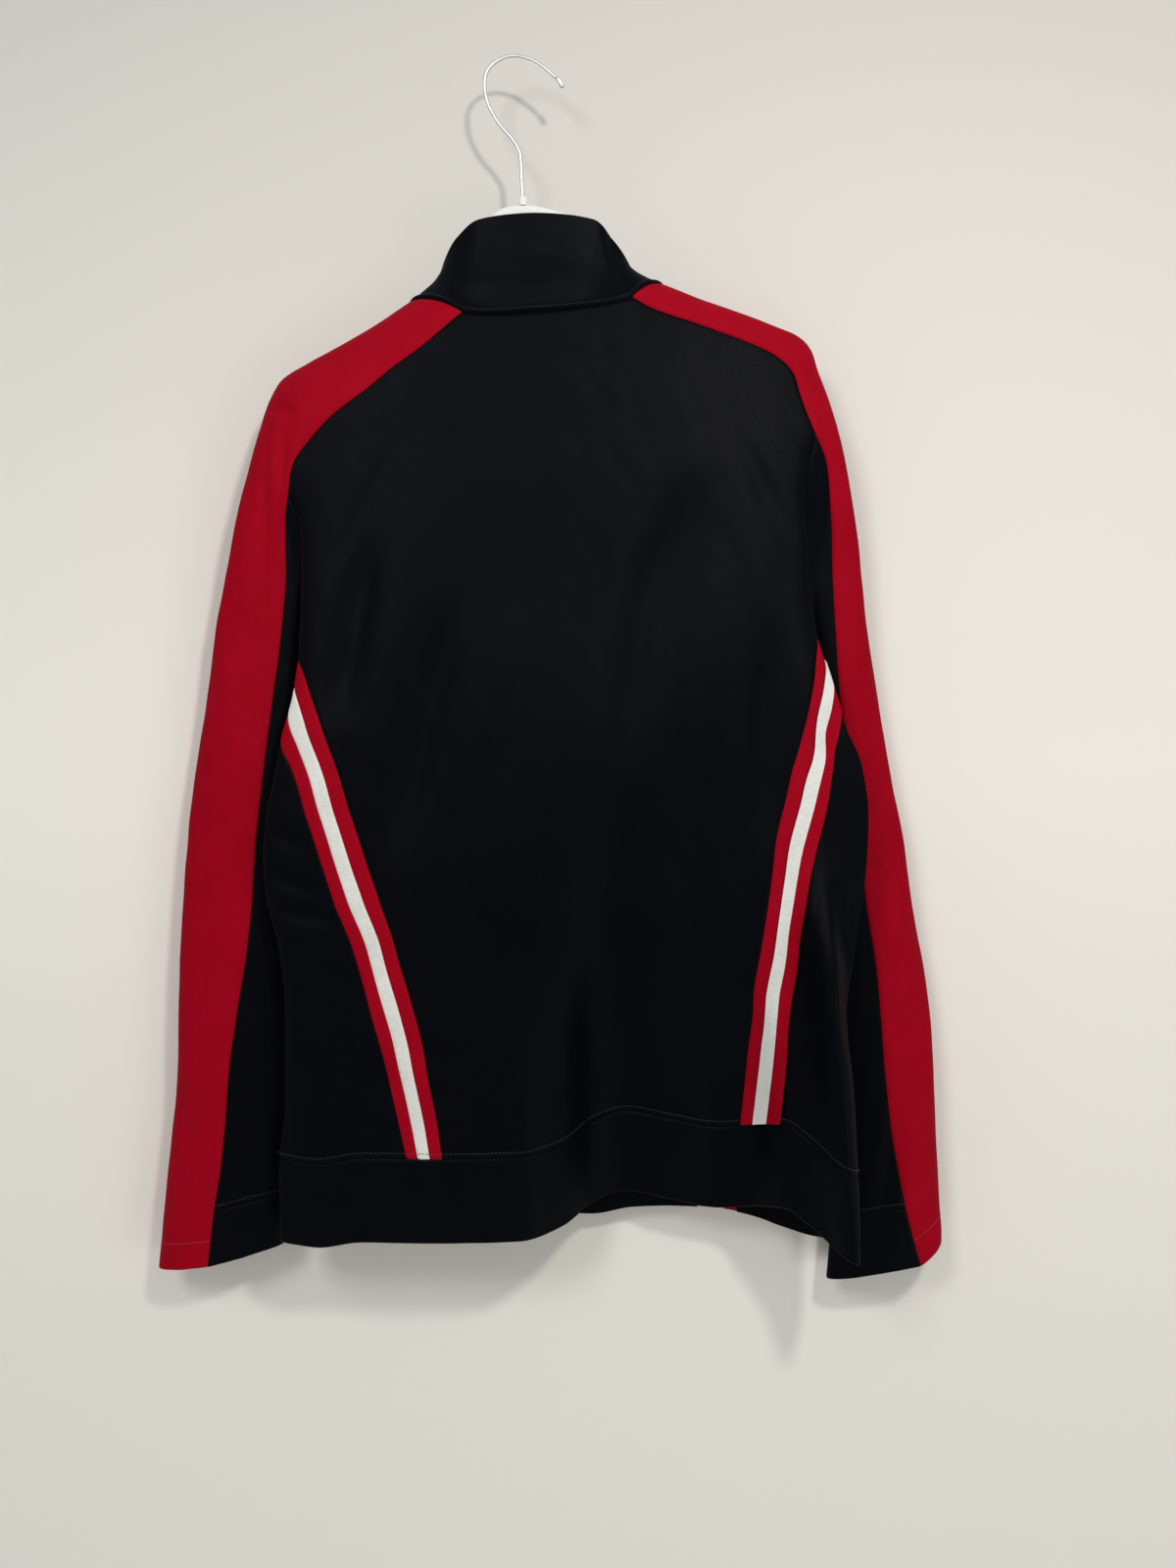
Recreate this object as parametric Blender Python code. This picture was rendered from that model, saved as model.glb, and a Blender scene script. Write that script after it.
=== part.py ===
"""Zip-up track jacket, hanging by its collar and shoulders on a plastic hanger.

The part's frame: +Z up, the wearer's left is +X, the jacket's front faces -Y, and the
origin is the point under the hook's bend where a peg or rail would carry the hanger.
Every size in the tables and constants is in millimetres, and is turned into metres
when a mesh is made.

The cloth is worked out from one closed ring for each height of the body, one half oval
for each station along the shoulder and sleeve panels, and the neck and top edges of the
collar. Each cloth piece is a patch of those surfaces, given a wall on its inner side and
drawn back by half a seam gap where it meets its neighbour.
"""
import math

import bmesh
import bpy
import numpy as np

MM = 0.001
SHARP_EDGE = math.radians(50)

# Cloth.
PANEL_WALL = 1.5
BAND_WALL = 1.5
COLLAR_WALL = 2.6
SHARP_TURN = 0.3
BOW_ROUNDNESS = 0.8
SEAM_GAP = 0.3
TAPE_STRIPS = ("outer_red", "white", "inner_red")

# Body: heights are measured along the centre line, below the origin.
HEM = -986.0
HEM_SEAM = -918.0
UNDERARM = -497.0
FRONT_NECK = -290.0
SIDE_LINE = 100.0
BACK_ROUNDNESS = 0.60
FRONT_ROUNDNESS = 0.65
HEM_FADE = 210.0
NECK_BOW = -7.0
NECK_BOW_REACH = 60.0
FRONT_NECK_BOW = -12.0
FRONT_NECK_BOW_REACH = 90.0

TAPE_ROWS = 15
ARMHOLE_ROWS = 5
HEM_ROWS = 2
BACK_COLUMNS = 16
FRONT_COLUMNS = 6
SIDE_COLUMNS = 5
SIDE_POINT = 0.85
# How far the back's folds and hem waves reach round the sides, as cosines of the angle
BACK_REACH = (-0.35, 0.15)
# Share of a fold's height over which each of its ends fades
FOLD_FADE = 0.35
# Steps for the normals, in degrees and millimetres
ANGLE_STEP = 0.4
HEIGHT_STEP = 1.0

# height, left side x, right side x, tilt, left side y, right side y, back y, front y
RINGS = np.array([
    (-986, 197, -270, 0.000, 28, 50, 42, -20),
    (-930, 198, -270, 0.000, 28, 48, 44, -20),
    (-870, 193, -268, 0.000, 28, 46, 46, -20),
    (-800, 193, -264, 0.000, 28, 45, 48, -20),
    (-750, 198, -272, 0.000, 28, 45, 48, -20),
    (-710, 208, -279, 0.000, 28, 45, 48, -20),
    (-676, 211, -283, 0.004, 28, 45, 48, -20),
    (-642, 209, -284, 0.010, 28, 45, 48, -20),
    (-606, 202, -279, 0.018, 28, 44, 48, -20),
    (-575, 196, -266, 0.025, 28, 42, 48, -20),
    (-540, 187, -255, 0.032, 27, 38, 47, -20),
    (-505, 182, -245, 0.040, 26, 32, 46, -20),
    (-460, 181, -239, 0.055, 24, 27, 44, -20),
    (-400, 183, -236, 0.085, 19, 22, 42, -20),
    (-370, 190, -243, 0.100, 14, 16, 41, -21),
    (-351, 207, -256, 0.105, 8, 9, 40, -22),
    (-335, 220, -262, 0.102, 4, 4, 39, -23),
    (-303, 224, -258, 0.096, 0, 0, 38, -24),
    (-275, 217, -248, 0.092, 0, 0, 37, -25),
    (-256, 207, -233, 0.090, 0, 0, 36, -26),
    (-240, 180, -205, 0.090, 0, 0, 35, -27),
    (-222, 145, -170, 0.090, 0, 0, 33, -28),
], float)

# Waves of the back hem: share of the half width (+1 is the left side), y shift, rise
BACK_HEM = np.array([
    (-1.00, 0, -6), (-0.94, 6, 0), (-0.85, 8, 16), (-0.77, 0, 26), (-0.66, -28, 18),
    (-0.55, -38, 13), (-0.40, -39, 19), (-0.24, -42, 24), (-0.10, -33, 17), (0.00, -12, 7),
    (0.15, 6, 1), (0.37, 8, 0), (0.70, 5, -1), (0.86, 3, -7), (0.94, 1, -6), (1.00, 0, -5),
], float)
# Waves of the front hem, with the same columns
FRONT_HEM = np.array([
    (-1.00, 0, -6), (-0.90, 2, -8), (-0.80, 2, -4), (-0.70, 0, 2), (-0.60, 0, 6),
    (-0.45, 0, 8), (-0.25, 0, 6), (-0.10, 0, 0), (0.50, -2, 0), (1.00, 0, -5),
], float)

# Soft folds of the back: x and z at the top, middle and low end, half width, height out of
# the cloth (a trough is below 0), and the share of the height that is left at the low end
FOLDS = (
    (-240, -655, -250, -770, -268, -985, 20, 32, 1.0),
    (-262, -690, -262, -770, -264, -850, 8, -9, 0.0),
    (120, -400, 135, -500, 151, -580, 16, -6, 0.0),
    (53, -450, 80, -580, 111, -700, 18, -7, 0.0),
    (-150, -340, -100, -520, -88, -640, 24, -10, 0.3),
    (-90, -600, -70, -731, -68, -900, 24, -9, 0.5),
    (-209, -470, -200, -561, -200, -690, 12, -5, 0.0),
    (-20, -400, -10, -600, 20, -800, 42, 6, 0.0),
)

# Side tapes: where the edges lie on the back, as height and x
TAPES = {
    "left": {
        "inner": ((-918, 65), (-867, 70.5), (-826, 77), (-759, 97), (-713, 112), (-666, 127.5),
                  (-619, 142), (-577, 156), (-540, 169), (-515, 178)),
        "outer": ((-918, 90), (-882, 98), (-837, 109), (-792, 122), (-731, 142), (-687, 158),
                  (-649, 170), (-600, 185)),
        "inner_top": -497.0, "outer_top": -560.0, "twist": 31.0,
    },
    "right": {
        "inner": ((-918, -184), (-857, -188.5), (-804, -191.5), (-757, -196.5), (-710, -203),
                  (-669, -208), (-612, -221), (-572, -233), (-540, -240.5), (-518, -243.5)),
        "outer": ((-918, -213), (-832, -218), (-782, -223), (-739, -227), (-698, -234),
                  (-660, -244), (-600, -255.5), (-575, -261)),
        "inner_top": -497.0, "outer_top": -548.0, "twist": 10.0,
    },
}

# Armhole below the shoulder panel: height, angle of its back edge, angle of its front edge
ARMHOLE = np.array([
    (-497, 100, 100), (-484, 99, 108), (-450, 96, 117), (-400, 90, 121), (-370, 82, 120),
], float)

# Shoulder panel from the neck to the armhole: back seam x, z, ridge x, z, front seam x, z
SHOULDERS = {
    "left": np.array([
        (46.9, -227.5, 96.0, -209.5, 72.0, -238.0),
        (76.8, -253.4, 125.5, -228.8, 98.0, -262.0),
        (104.3, -273.6, 153.9, -245.3, 118.0, -280.0),
        (125.3, -290.6, 178.0, -259.0, 135.0, -294.0),
        (152.8, -310.8, 202.0, -273.5, 154.0, -311.0),
        (171.4, -329.4, 213.5, -292.5, 168.0, -329.0),
        (184.4, -345.2, 220.5, -315.0, 177.0, -345.0),
        (190.0, -358.0, 226.5, -336.0, 180.0, -358.0),
        (192.3, -372.4, 232.0, -358.0, 180.0, -372.0),
    ], float),
    "right": np.array([
        (-93.0, -214.2, -123.4, -196.0, -112.0, -225.0),
        (-113.2, -225.5, -150.0, -206.0, -132.0, -236.0),
        (-147.2, -236.8, -180.0, -217.5, -158.0, -249.0),
        (-183.6, -249.4, -210.0, -229.0, -184.0, -260.0),
        (-211.1, -260.7, -233.0, -238.0, -208.0, -272.0),
        (-226.4, -274.4, -245.0, -250.0, -221.0, -286.0),
        (-232.5, -292.2, -251.5, -268.0, -228.0, -300.0),
        (-238.1, -308.4, -259.0, -289.0, -232.0, -313.0),
        (-245.0, -324.6, -266.0, -312.0, -235.0, -327.0),
    ], float),
}

# Sleeve below the armhole's top: seam z, outer z, inner z, seam x, outer x, inner x,
# back seam y, front seam y. The last row is the cuff's lower edge, the one before its seam
SLEEVES = {
    "left": np.array([
        (-400, -392, -404, 196.0, 241.0, 181, 18, -16),
        (-436, -431, -438, 196.0, 249.5, 179, 15, -21),
        (-468, -465, -468, 198.5, 256.0, 178, 13, -25),
        (-512, -510, -512, 203.5, 264.0, 178, 12, -27),
        (-552, -552, -552, 209.0, 270.5, 182, 12, -28),
        (-619, -619, -619, 217.4, 281.0, 193, 12, -29),
        (-667, -667, -667, 222.3, 286.0, 198, 12, -29),
        (-716, -716, -716, 225.6, 289.5, 196, 12, -29),
        (-761, -761, -761, 230.5, 291.3, 189, 12, -29),
        (-805, -805, -805, 238.0, 292.3, 185, 12, -29),
        (-855, -855, -852, 245.0, 294.2, 185, 12, -29),
        (-905, -906, -900, 248.6, 298.0, 190, 12, -28),
        (-938, -941, -930, 251.8, 301.0, 194, 12, -27),
        (-974, -978, -962, 257.5, 304.0, 198, 12, -26),
        (-1021, -1027, -1006, 263.0, 308.5, 202, 11, -24),
    ], float),
    "right": np.array([
        (-345, -338, -352, -255.0, -272.5, -237, 18, -14),
        (-368, -364, -374, -259.2, -278.0, -237, 14, -18),
        (-403, -401, -406, -261.7, -285.0, -238, 10, -22),
        (-438, -437, -440, -262.7, -289.6, -239, 8, -25),
        (-485, -485, -485, -265.5, -296.0, -241, 7, -27),
        (-534, -534, -534, -268.6, -304.0, -243, 6, -29),
        (-610, -610, -610, -278.0, -317.0, -246, 5, -30),
        (-663, -663, -663, -285.5, -326.4, -248, 5, -31),
        (-715, -715, -715, -291.5, -334.5, -249, 5, -31),
        (-776, -775, -778, -300.5, -346.0, -251, 5, -31),
        (-822, -820, -826, -304.5, -351.0, -255, 5, -31),
        (-862, -859, -868, -307.6, -352.3, -259, 6, -31),
        (-901, -896, -910, -311.7, -353.5, -263, 7, -31),
        (-973, -962, -984, -324.0, -356.5, -265, 8, -30),
        (-1021, -1005, -1038, -336.5, -358.0, -261, 8, -28),
    ], float),
}
SLEEVE_ROWS = 18
CUFF_ROWS = 2
RED_COLUMNS = 8
ARMHOLE_REACH = 45.0
ARMHOLE_FADE = 1.5
UNDERARM_CLEARANCE = 0.4
INNER_START = 30.0
# Share of the armhole's width that the front seam keeps in its first rows
FRONT_SEAM_SHARES = np.array([0, 0.6, 0.25])

# Collar's top edge: turn from the centre back (+ is the left), x, y, z
COLLAR_TOP = np.array([
    (-180, -20, -27, -215), (-140, -84, -22, -204), (-112, -100, -10, -188), (-90, -93, 1, -177),
    (-62, -77, 14, -161), (-36, -60.4, 25, -150.5), (0, -14, 29, -145.5), (33, 34, 26, -149.5),
    (60, 52, 15, -158), (90, 66, 2, -176), (110, 71, -8, -188), (140, 54, -21, -203),
    (180, -20, -27, -215),
], float)
COLLAR_CENTRE = (-14.0, 0.0)
COLLAR_ROWS = 3
COLLAR_FLARE = 1.6

# Front zip.
ZIP_X_HEM = -25.0
ZIP_X_NECK = -20.0
ZIP_OPENING = 17.0
CHAIN_WIDTH = 5.4
CHAIN_THICKNESS = 2.6
CHAIN_BACKSET = 0.5
ZIP_TAPE_WALL = 1.0

# Slider and pull tab.
SLIDER_WIDTH = 8.6
SLIDER_LENGTH = 11.0
SLIDER_PLATE = 1.4
SLIDER_POST_WIDTH = 4.4
SLIDER_POST_HEIGHT = 3.0
SLIDER_BELOW_TOP = 2.0
SLIDER_CLEARANCE = 0.6
SLIDER_LAP = 0.4
BAIL_WIDTH = 2.2
BAIL_BAR = 1.2
BAIL_OPENING_HEIGHT = 4.0
BAIL_OPENING_DEPTH = 2.4
PULL_WIDTH = 7.0
PULL_LENGTH = 24.0
PULL_THICKNESS = 1.4
PULL_BAR = 1.4
PULL_HOLE_WIDTH = 3.2
PULL_HOLE_HEIGHT = 3.5
PULL_NECK_SHARE = 0.8
PULL_NECK_LENGTH = 7.0
PULL_END_SHARE = 0.72
PULL_END_CORNER = 2.2
PULL_TOP_CORNER = 0.8

# Hanger.
ARM_DEPTH = 9.0
ARM_HEIGHT = 13.0
ARM_CLEARANCE = 2.4
ARM_SIDES = 12
NECK_STATIONS = 30
ARM_TIP_SHARE = 0.55
ARM_END_SHARE = 0.9
HOOK_WIRE = 3.0
HOOK_TIP_DIAMETER = 4.0
BOSS_RADIUS = 4.6
BOSS_X = -1.5
BOSS_TOP = -118.8
BOSS_SEAT = 0.35
BOSS_TAPER = 0.6
BOSS_SIDES = 20
HOOK_STATIONS = 40
HOOK_TIP_STATIONS = 6
HANGER_TOP = -125.0
# Top of the hanger between the two neck seams: x, z, from the left seam to the right
HANGER_NECK = ((98, -215.5), (84, -208.5), (70, -198), (56, -183), (44, -161), (33, -142),
               (20, -129.5), (6, -125.2), (-9, -125), (-30, -126), (-46, -131), (-60, -145),
               (-76, -165), (-92, -185), (-108, -195.5), (-126, -202))
# Centre of the hook's wire, from the boss up and over the peg to the open end: x, z
HOOK_PATH = ((-1.0, -118.5), (-0.3, -104), (0.4, -88), (2.0, -78), (8.6, -67.5), (19.2, -55),
             (27.6, -40), (31.0, -26), (30.0, -13), (24.0, -4.4), (14.5, 0.8), (6.0, 2.3),
             (0.0, 1.5), (-9.2, -1.3), (-17.0, -6.0), (-24.0, -11.6), (-29.5, -16.6))
HOOK_TIP_PATH = ((-29.9, -17.0), (-32.6, -20.4), (-35.4, -25.2))

COLOURS = {
    "black_fabric": ((0.0045, 0.0050, 0.0075), 0.62, 0.0),
    "red_fabric": ((0.400, 0.003, 0.012), 0.60, 0.0),
    "white_fabric": ((0.680, 0.670, 0.620), 0.62, 0.0),
    "zip_tape": ((0.0060, 0.0065, 0.0090), 0.75, 0.0),
    "zip_chain": ((0.0200, 0.0210, 0.0240), 0.40, 0.0),
    "zip_metal": ((0.0700, 0.0700, 0.0750), 0.32, 1.0),
    "hanger_plastic": ((0.780, 0.780, 0.740), 0.30, 0.0),
    "hook_wire": ((0.620, 0.620, 0.600), 0.24, 1.0),
    "clear_tip": ((0.750, 0.760, 0.740), 0.15, 0.0),
}


# ---------------------------------------------------------------- curves

def smooth(xs, ys, x):
    """Monotone cubic through the points, whose slope is the harmonic mean of its neighbours'."""
    xs, ys = np.asarray(xs, float), np.asarray(ys, float)
    step = np.diff(xs)
    slope = np.diff(ys) / step
    tangent = np.zeros_like(ys)
    tangent[0], tangent[-1] = slope[0], slope[-1]
    product = slope[:-1] * slope[1:]
    total = slope[:-1] + slope[1:]
    rising = product > 0
    tangent[1:-1][rising] = 2 * product[rising] / total[rising]
    x = np.clip(np.asarray(x, float), xs[0], xs[-1])
    i = np.clip(np.searchsorted(xs, x) - 1, 0, len(step) - 1)
    t = (x - xs[i]) / step[i]
    a = ys[i] * (1 + 2 * t) * (1 - t) ** 2 + tangent[i] * step[i] * t * (1 - t) ** 2
    b = ys[i + 1] * t ** 2 * (3 - 2 * t) - tangent[i + 1] * step[i] * t ** 2 * (1 - t)
    return a + b


def through(points, count):
    """Points evenly spaced in index along a Catmull-Rom curve through the given points."""
    p = np.asarray(points, float)
    p = np.vstack([2 * p[0] - p[1], p, 2 * p[-1] - p[-2]])
    u = np.linspace(0, len(p) - 3, count)
    i = np.minimum(u.astype(int), len(p) - 4)
    t = (u - i)[:, None]
    p0, p1, p2, p3 = p[i], p[i + 1], p[i + 2], p[i + 3]
    return 0.5 * (2 * p1 + (p2 - p0) * t + (2 * p0 - 5 * p1 + 4 * p2 - p3) * t ** 2
                  + (3 * p1 - p0 - 3 * p2 + p3) * t ** 3)


def ease(x, low, high):
    """0 below low, 1 above high, and a smooth step between."""
    t = np.clip((x - low) / (high - low), 0, 1)
    return t * t * (3 - 2 * t)


def unit(v):
    """Vectors of length 1."""
    return v / np.maximum(np.linalg.norm(v, axis=-1, keepdims=True), 1e-9)


# ---------------------------------------------------------------- body surface

def ring(height):
    """The ring's seven sizes at each height."""
    return [smooth(RINGS[:, 0], RINGS[:, k], height) for k in range(1, 8)]


def fold_height(x, z):
    """Sum of the soft folds: a bell across each fold's path, faded at its two ends."""
    total = np.zeros_like(x)
    for x1, z1, x2, z2, x3, z3, half_width, out, low_share in FOLDS:
        path = smooth((z3, z2, z1), (x3, x2, x1), z)
        top = 1 - ease(z, z1 - FOLD_FADE * (z1 - z3), z1)
        low = low_share + (1 - low_share) * ease(z, z3, z3 + FOLD_FADE * (z1 - z3))
        total += out * top * low * np.exp(-((x - path) / half_width) ** 2)
    return total


def body(angle, height):
    """Point of the body at an angle from the centre back (+ is the left side) and a height.

    x is the ring's middle plus its half width times the sine. y runs from the side's value
    to the back's or the front's with a power of the cosine, which flattens the sheet.
    """
    angle, height = np.broadcast_arrays(np.asarray(angle, float), np.asarray(height, float))
    left, right, tilt, y_left, y_right, y_back, y_front = ring(height)
    share, facing = np.sin(np.radians(angle)), np.cos(np.radians(angle))
    x = (left + right) / 2 + (left - right) / 2 * share
    side = np.where(share >= 0, y_left, y_right)
    sheet = np.where(facing >= 0, y_back, y_front)
    power = np.where(facing >= 0, BACK_ROUNDNESS, FRONT_ROUNDNESS)
    y = side + (sheet - side) * np.abs(facing) ** power
    back = ease(facing, *BACK_REACH)
    hem = 1 - ease(height, HEM_SEAM, HEM_SEAM + HEM_FADE)
    wave = [back * smooth(BACK_HEM[:, 0], BACK_HEM[:, k], share)
            + (1 - back) * smooth(FRONT_HEM[:, 0], FRONT_HEM[:, k], share) for k in (1, 2)]
    z = height - tilt * x
    y = y + hem * wave[0] + back * fold_height(x, z)
    return np.stack([x, y, z + hem * wave[1]], axis=-1)


def body_normal(angle, height):
    """Outward normal of the body, from small steps in angle and height."""
    angle, height = np.asarray(angle, float), np.asarray(height, float)
    across = body(angle + ANGLE_STEP, height) - body(angle - ANGLE_STEP, height)
    up = body(angle, height + HEIGHT_STEP) - body(angle, height - HEIGHT_STEP)
    return unit(np.cross(up, across))


def body_place(x, z, front=False):
    """Angle and height of the body's point at x and z, on its back or its front."""
    height = np.asarray(z, float)
    for _ in range(4):
        height = np.asarray(z) + ring(height)[2] * np.asarray(x)
    left, right = ring(height)[:2]
    share = np.clip((np.asarray(x) - (left + right) / 2) / ((left - right) / 2), -1, 1)
    angle = np.degrees(np.arcsin(share))
    if front:
        angle = np.where(angle >= 0, 180 - angle, -180 - angle)
    return np.stack([angle, height], axis=-1)


# ---------------------------------------------------------------- seams on the body

SIGN = {"left": 1.0, "right": -1.0}


def tape_edges(side, front):
    """The four edges of a side tape, inner to outer: angle and height for each row."""
    tape, sign = TAPES[side], SIGN[side]
    t = np.linspace(0, 1, TAPE_ROWS + 1)
    edges = []
    for name in ("inner", "outer"):
        top = tape[name + "_top"]
        rows = np.array(tape[name], float)
        height = HEM_SEAM + (top - HEM_SEAM) * t
        left, right = ring(rows[:, 0])[:2]
        share = (rows[:, 1] - (left + right) / 2) / ((left - right) / 2)
        turn = np.degrees(np.arcsin(np.clip(np.abs(share), 0, 1)))
        turn = smooth(np.append(rows[:, 0], top), np.append(turn, SIDE_LINE), height)
        edges.append(np.stack([turn, height], axis=-1))
    inner, outer = edges
    strips = len(TAPE_STRIPS)
    edges = [inner + (outer - inner) * k / strips for k in range(strips + 1)]
    for edge in edges:
        if front:
            edge[:, 0] = 2 * SIDE_LINE - edge[:, 0] - tape["twist"] * (1 - t)
        edge[:, 0] *= sign
    return edges


def armhole_edge(side, front):
    """Angle and height of the armhole's back or front edge, from the top to the underarm."""
    top = SHOULDERS[side][-1]
    start = body_place(top[4], top[5], True) if front else body_place(top[0], top[1])
    heights = np.linspace(start[1], UNDERARM, ARMHOLE_ROWS + 1)
    column = 2 if front else 1
    table = np.append(ARMHOLE[:, column], abs(start[0]))
    turn = smooth(np.append(ARMHOLE[:, 0], start[1]), table, heights)
    return np.stack([turn * SIGN[side], heights], axis=-1)


def shoulder_seam(side, front):
    """Angle and height of the shoulder panel's back or front seam, from the armhole up."""
    rows = SHOULDERS[side][::-1]
    columns = (4, 5) if front else (0, 1)
    return body_place(rows[:, columns[0]], rows[:, columns[1]], front)


def panel_edge(side, front):
    """The edge of the back or a front, from the hem band's seam up to the neck."""
    parts = [tape_edges(side, front)[0], armhole_edge(side, front)[::-1][1:],
             shoulder_seam(side, front)[1:]]
    return np.vstack(parts)


def zip_edge(side, rows):
    """The edge of a front beside the zip, with as many rows as the front has."""
    below = HEM_SEAM + (UNDERARM - HEM_SEAM) * np.linspace(0, 1, TAPE_ROWS + 1)
    above = UNDERARM + (FRONT_NECK - UNDERARM) * np.linspace(0, 1, rows - TAPE_ROWS)
    height = np.append(below, above[1:])
    share = (height - HEM) / (FRONT_NECK - HEM)
    x = ZIP_X_HEM + (ZIP_X_NECK - ZIP_X_HEM) * share + SIGN[side] * ZIP_OPENING / 2
    left, right = ring(height)[:2]
    turn = np.degrees(np.arcsin((x - (left + right) / 2) / ((left - right) / 2)))
    return np.stack([SIGN[side] * 180 - turn, height], axis=-1)


# ---------------------------------------------------------------- patches

class Patch:
    """A grid of points on a surface, with the normals that its wall follows."""

    def __init__(self, points, normals):
        self.points, self.normals = points, normals


def grid_patch(points, outward):
    """A patch whose normals come from its own grid, turned to the side of outward."""
    along = np.gradient(points, axis=0)
    across = np.gradient(points, axis=1)
    normals = unit(np.cross(along, across))
    if np.mean(np.sum(normals * outward, axis=-1)) < 0:
        normals = -normals
    return Patch(points, normals)


def body_patch(left, right, columns, bow=0.0, bow_reach=1.0):
    """Body patch between two edges, its upper rows bowed down between them."""
    u = np.linspace(0, 1, columns + 1)[None, :, None]
    places = left[:, None, :] * (1 - u) + right[:, None, :] * u
    top = places[-1, :, 1]
    share = ease(places[..., 1], top - bow_reach, top)
    places[..., 1] += bow * share * (4 * u[..., 0] * (1 - u[..., 0])) ** BOW_ROUNDNESS
    angle, height = places[..., 0], places[..., 1]
    return Patch(body(angle, height), body_normal(angle, height)), places


def share_normals(first, first_index, second, second_index):
    """Gives both patches the mean normal along a seam, except where the cloth turns sharply."""
    a, b = first.normals[first_index], second.normals[second_index]
    mean = unit(a + b)
    close = (np.sum(a * b, axis=-1) > SHARP_TURN)[..., None]
    first.normals[first_index] = np.where(close, mean, a)
    second.normals[second_index] = np.where(close, mean, b)


def across_seam(line, inside, normals):
    """Directions square to a border line and to the normals, towards the inside points."""
    way = unit(np.cross(normals, np.gradient(line, axis=0)))
    return way if np.sum(way * (inside - line)) > 0 else -way


def drawn_back(patch, seams):
    """Moves for the borders that are sewn, half a seam gap towards the inside of the patch."""
    points, normals = patch.points, patch.normals
    move = np.zeros_like(points)
    sides = {"start": ((0, slice(None)), (1, slice(None))),
             "end": ((-1, slice(None)), (-2, slice(None))),
             "left": ((slice(None), 0), (slice(None), 1)),
             "right": ((slice(None), -1), (slice(None), -2))}
    for seam in seams:
        edge, inside = sides[seam]
        move[edge] += SEAM_GAP / 2 * across_seam(points[edge], points[inside], normals[edge])
    return move


# ---------------------------------------------------------------- scene objects

def clear_scene():
    """Removes every object, so that the part starts from nothing."""
    for thing in list(bpy.data.objects):
        bpy.data.objects.remove(thing, do_unlink=True)


def material(name, finish):
    """A Principled material of one finish, for one piece."""
    colour, roughness, metallic = COLOURS[finish]
    made = bpy.data.materials.new(name + "_" + finish)
    made.use_nodes = True
    shader = made.node_tree.nodes["Principled BSDF"]
    shader.inputs["Base Color"].default_value = (*colour, 1.0)
    shader.inputs["Roughness"].default_value = roughness
    shader.inputs["Metallic"].default_value = metallic
    made.diffuse_color = (*colour, 1.0)
    return made


def add_object(name, data, finish, collection):
    """Puts a mesh or a curve in the part's collection, with its own material."""
    made = bpy.data.objects.new(name, data)
    made.data.materials.append(material(name, finish))
    collection.objects.link(made)
    return made


def add_mesh(name, points, faces, finish, collection):
    """A closed mesh in metres, turned outward, with smooth shading between sharp edges."""
    mesh = bpy.data.meshes.new(name)
    mesh.from_pydata((np.asarray(points) * MM).tolist(), [], faces)
    work = bmesh.new()
    work.from_mesh(mesh)
    if work.calc_volume(signed=True) < 0:
        bmesh.ops.reverse_faces(work, faces=work.faces)
    work.to_mesh(mesh)
    work.free()
    mesh.shade_smooth()
    mesh.set_sharp_from_angle(angle=SHARP_EDGE)
    return add_object(name, mesh, finish, collection)


def grid_faces(rows, columns, start, flip):
    """Two triangles for each cell of a grid whose first point has the number start."""
    r, c = np.meshgrid(np.arange(rows - 1), np.arange(columns - 1), indexing="ij")
    a = (start + r * columns + c).ravel()
    b, d = a + 1, a + columns
    e = d + 1
    faces = np.concatenate([np.stack([a, b, e], 1), np.stack([a, e, d], 1)])
    return faces[:, ::-1] if flip else faces


def border_faces(rows, columns):
    """The wall's edge faces, from a grid's border points to their copies on the inner side.

    Every diagonal starts at the outer point with the higher row or column, so that two
    pieces that share a seam have the same edge face on both sides of its gap.
    """
    index = np.arange(rows * columns).reshape(rows, columns)
    inner = rows * columns
    forward = np.concatenate([np.stack([index[0, :-1], index[0, 1:]], 1),
                              np.stack([index[:-1, -1], index[1:, -1]], 1)])
    back = np.concatenate([np.stack([index[-1, 1:], index[-1, :-1]], 1),
                           np.stack([index[1:, 0], index[:-1, 0]], 1)])
    faces = []
    for a, b in forward:
        faces += [(b, a, a + inner), (b, a + inner, b + inner)]
    for a, b in back:
        faces += [(b, a, b + inner), (a, a + inner, b + inner)]
    return np.array(faces)


def add_cloth(name, patch, wall, seams, finish, collection, rise=0.0):
    """A cloth piece: the patch, its copy one wall further in, and the edges between them."""
    move = drawn_back(patch, seams)
    outer = patch.points + move + patch.normals * rise
    inner = patch.points + move - patch.normals * wall
    rows, columns = outer.shape[:2]
    count = rows * columns
    faces = np.concatenate([
        grid_faces(rows, columns, 0, False),
        grid_faces(rows, columns, count, True),
        border_faces(rows, columns),
    ])
    points = np.concatenate([outer.reshape(-1, 3), inner.reshape(-1, 3)])
    return add_mesh(name, points, faces.tolist(), finish, collection)


# ---------------------------------------------------------------- sleeves

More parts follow.
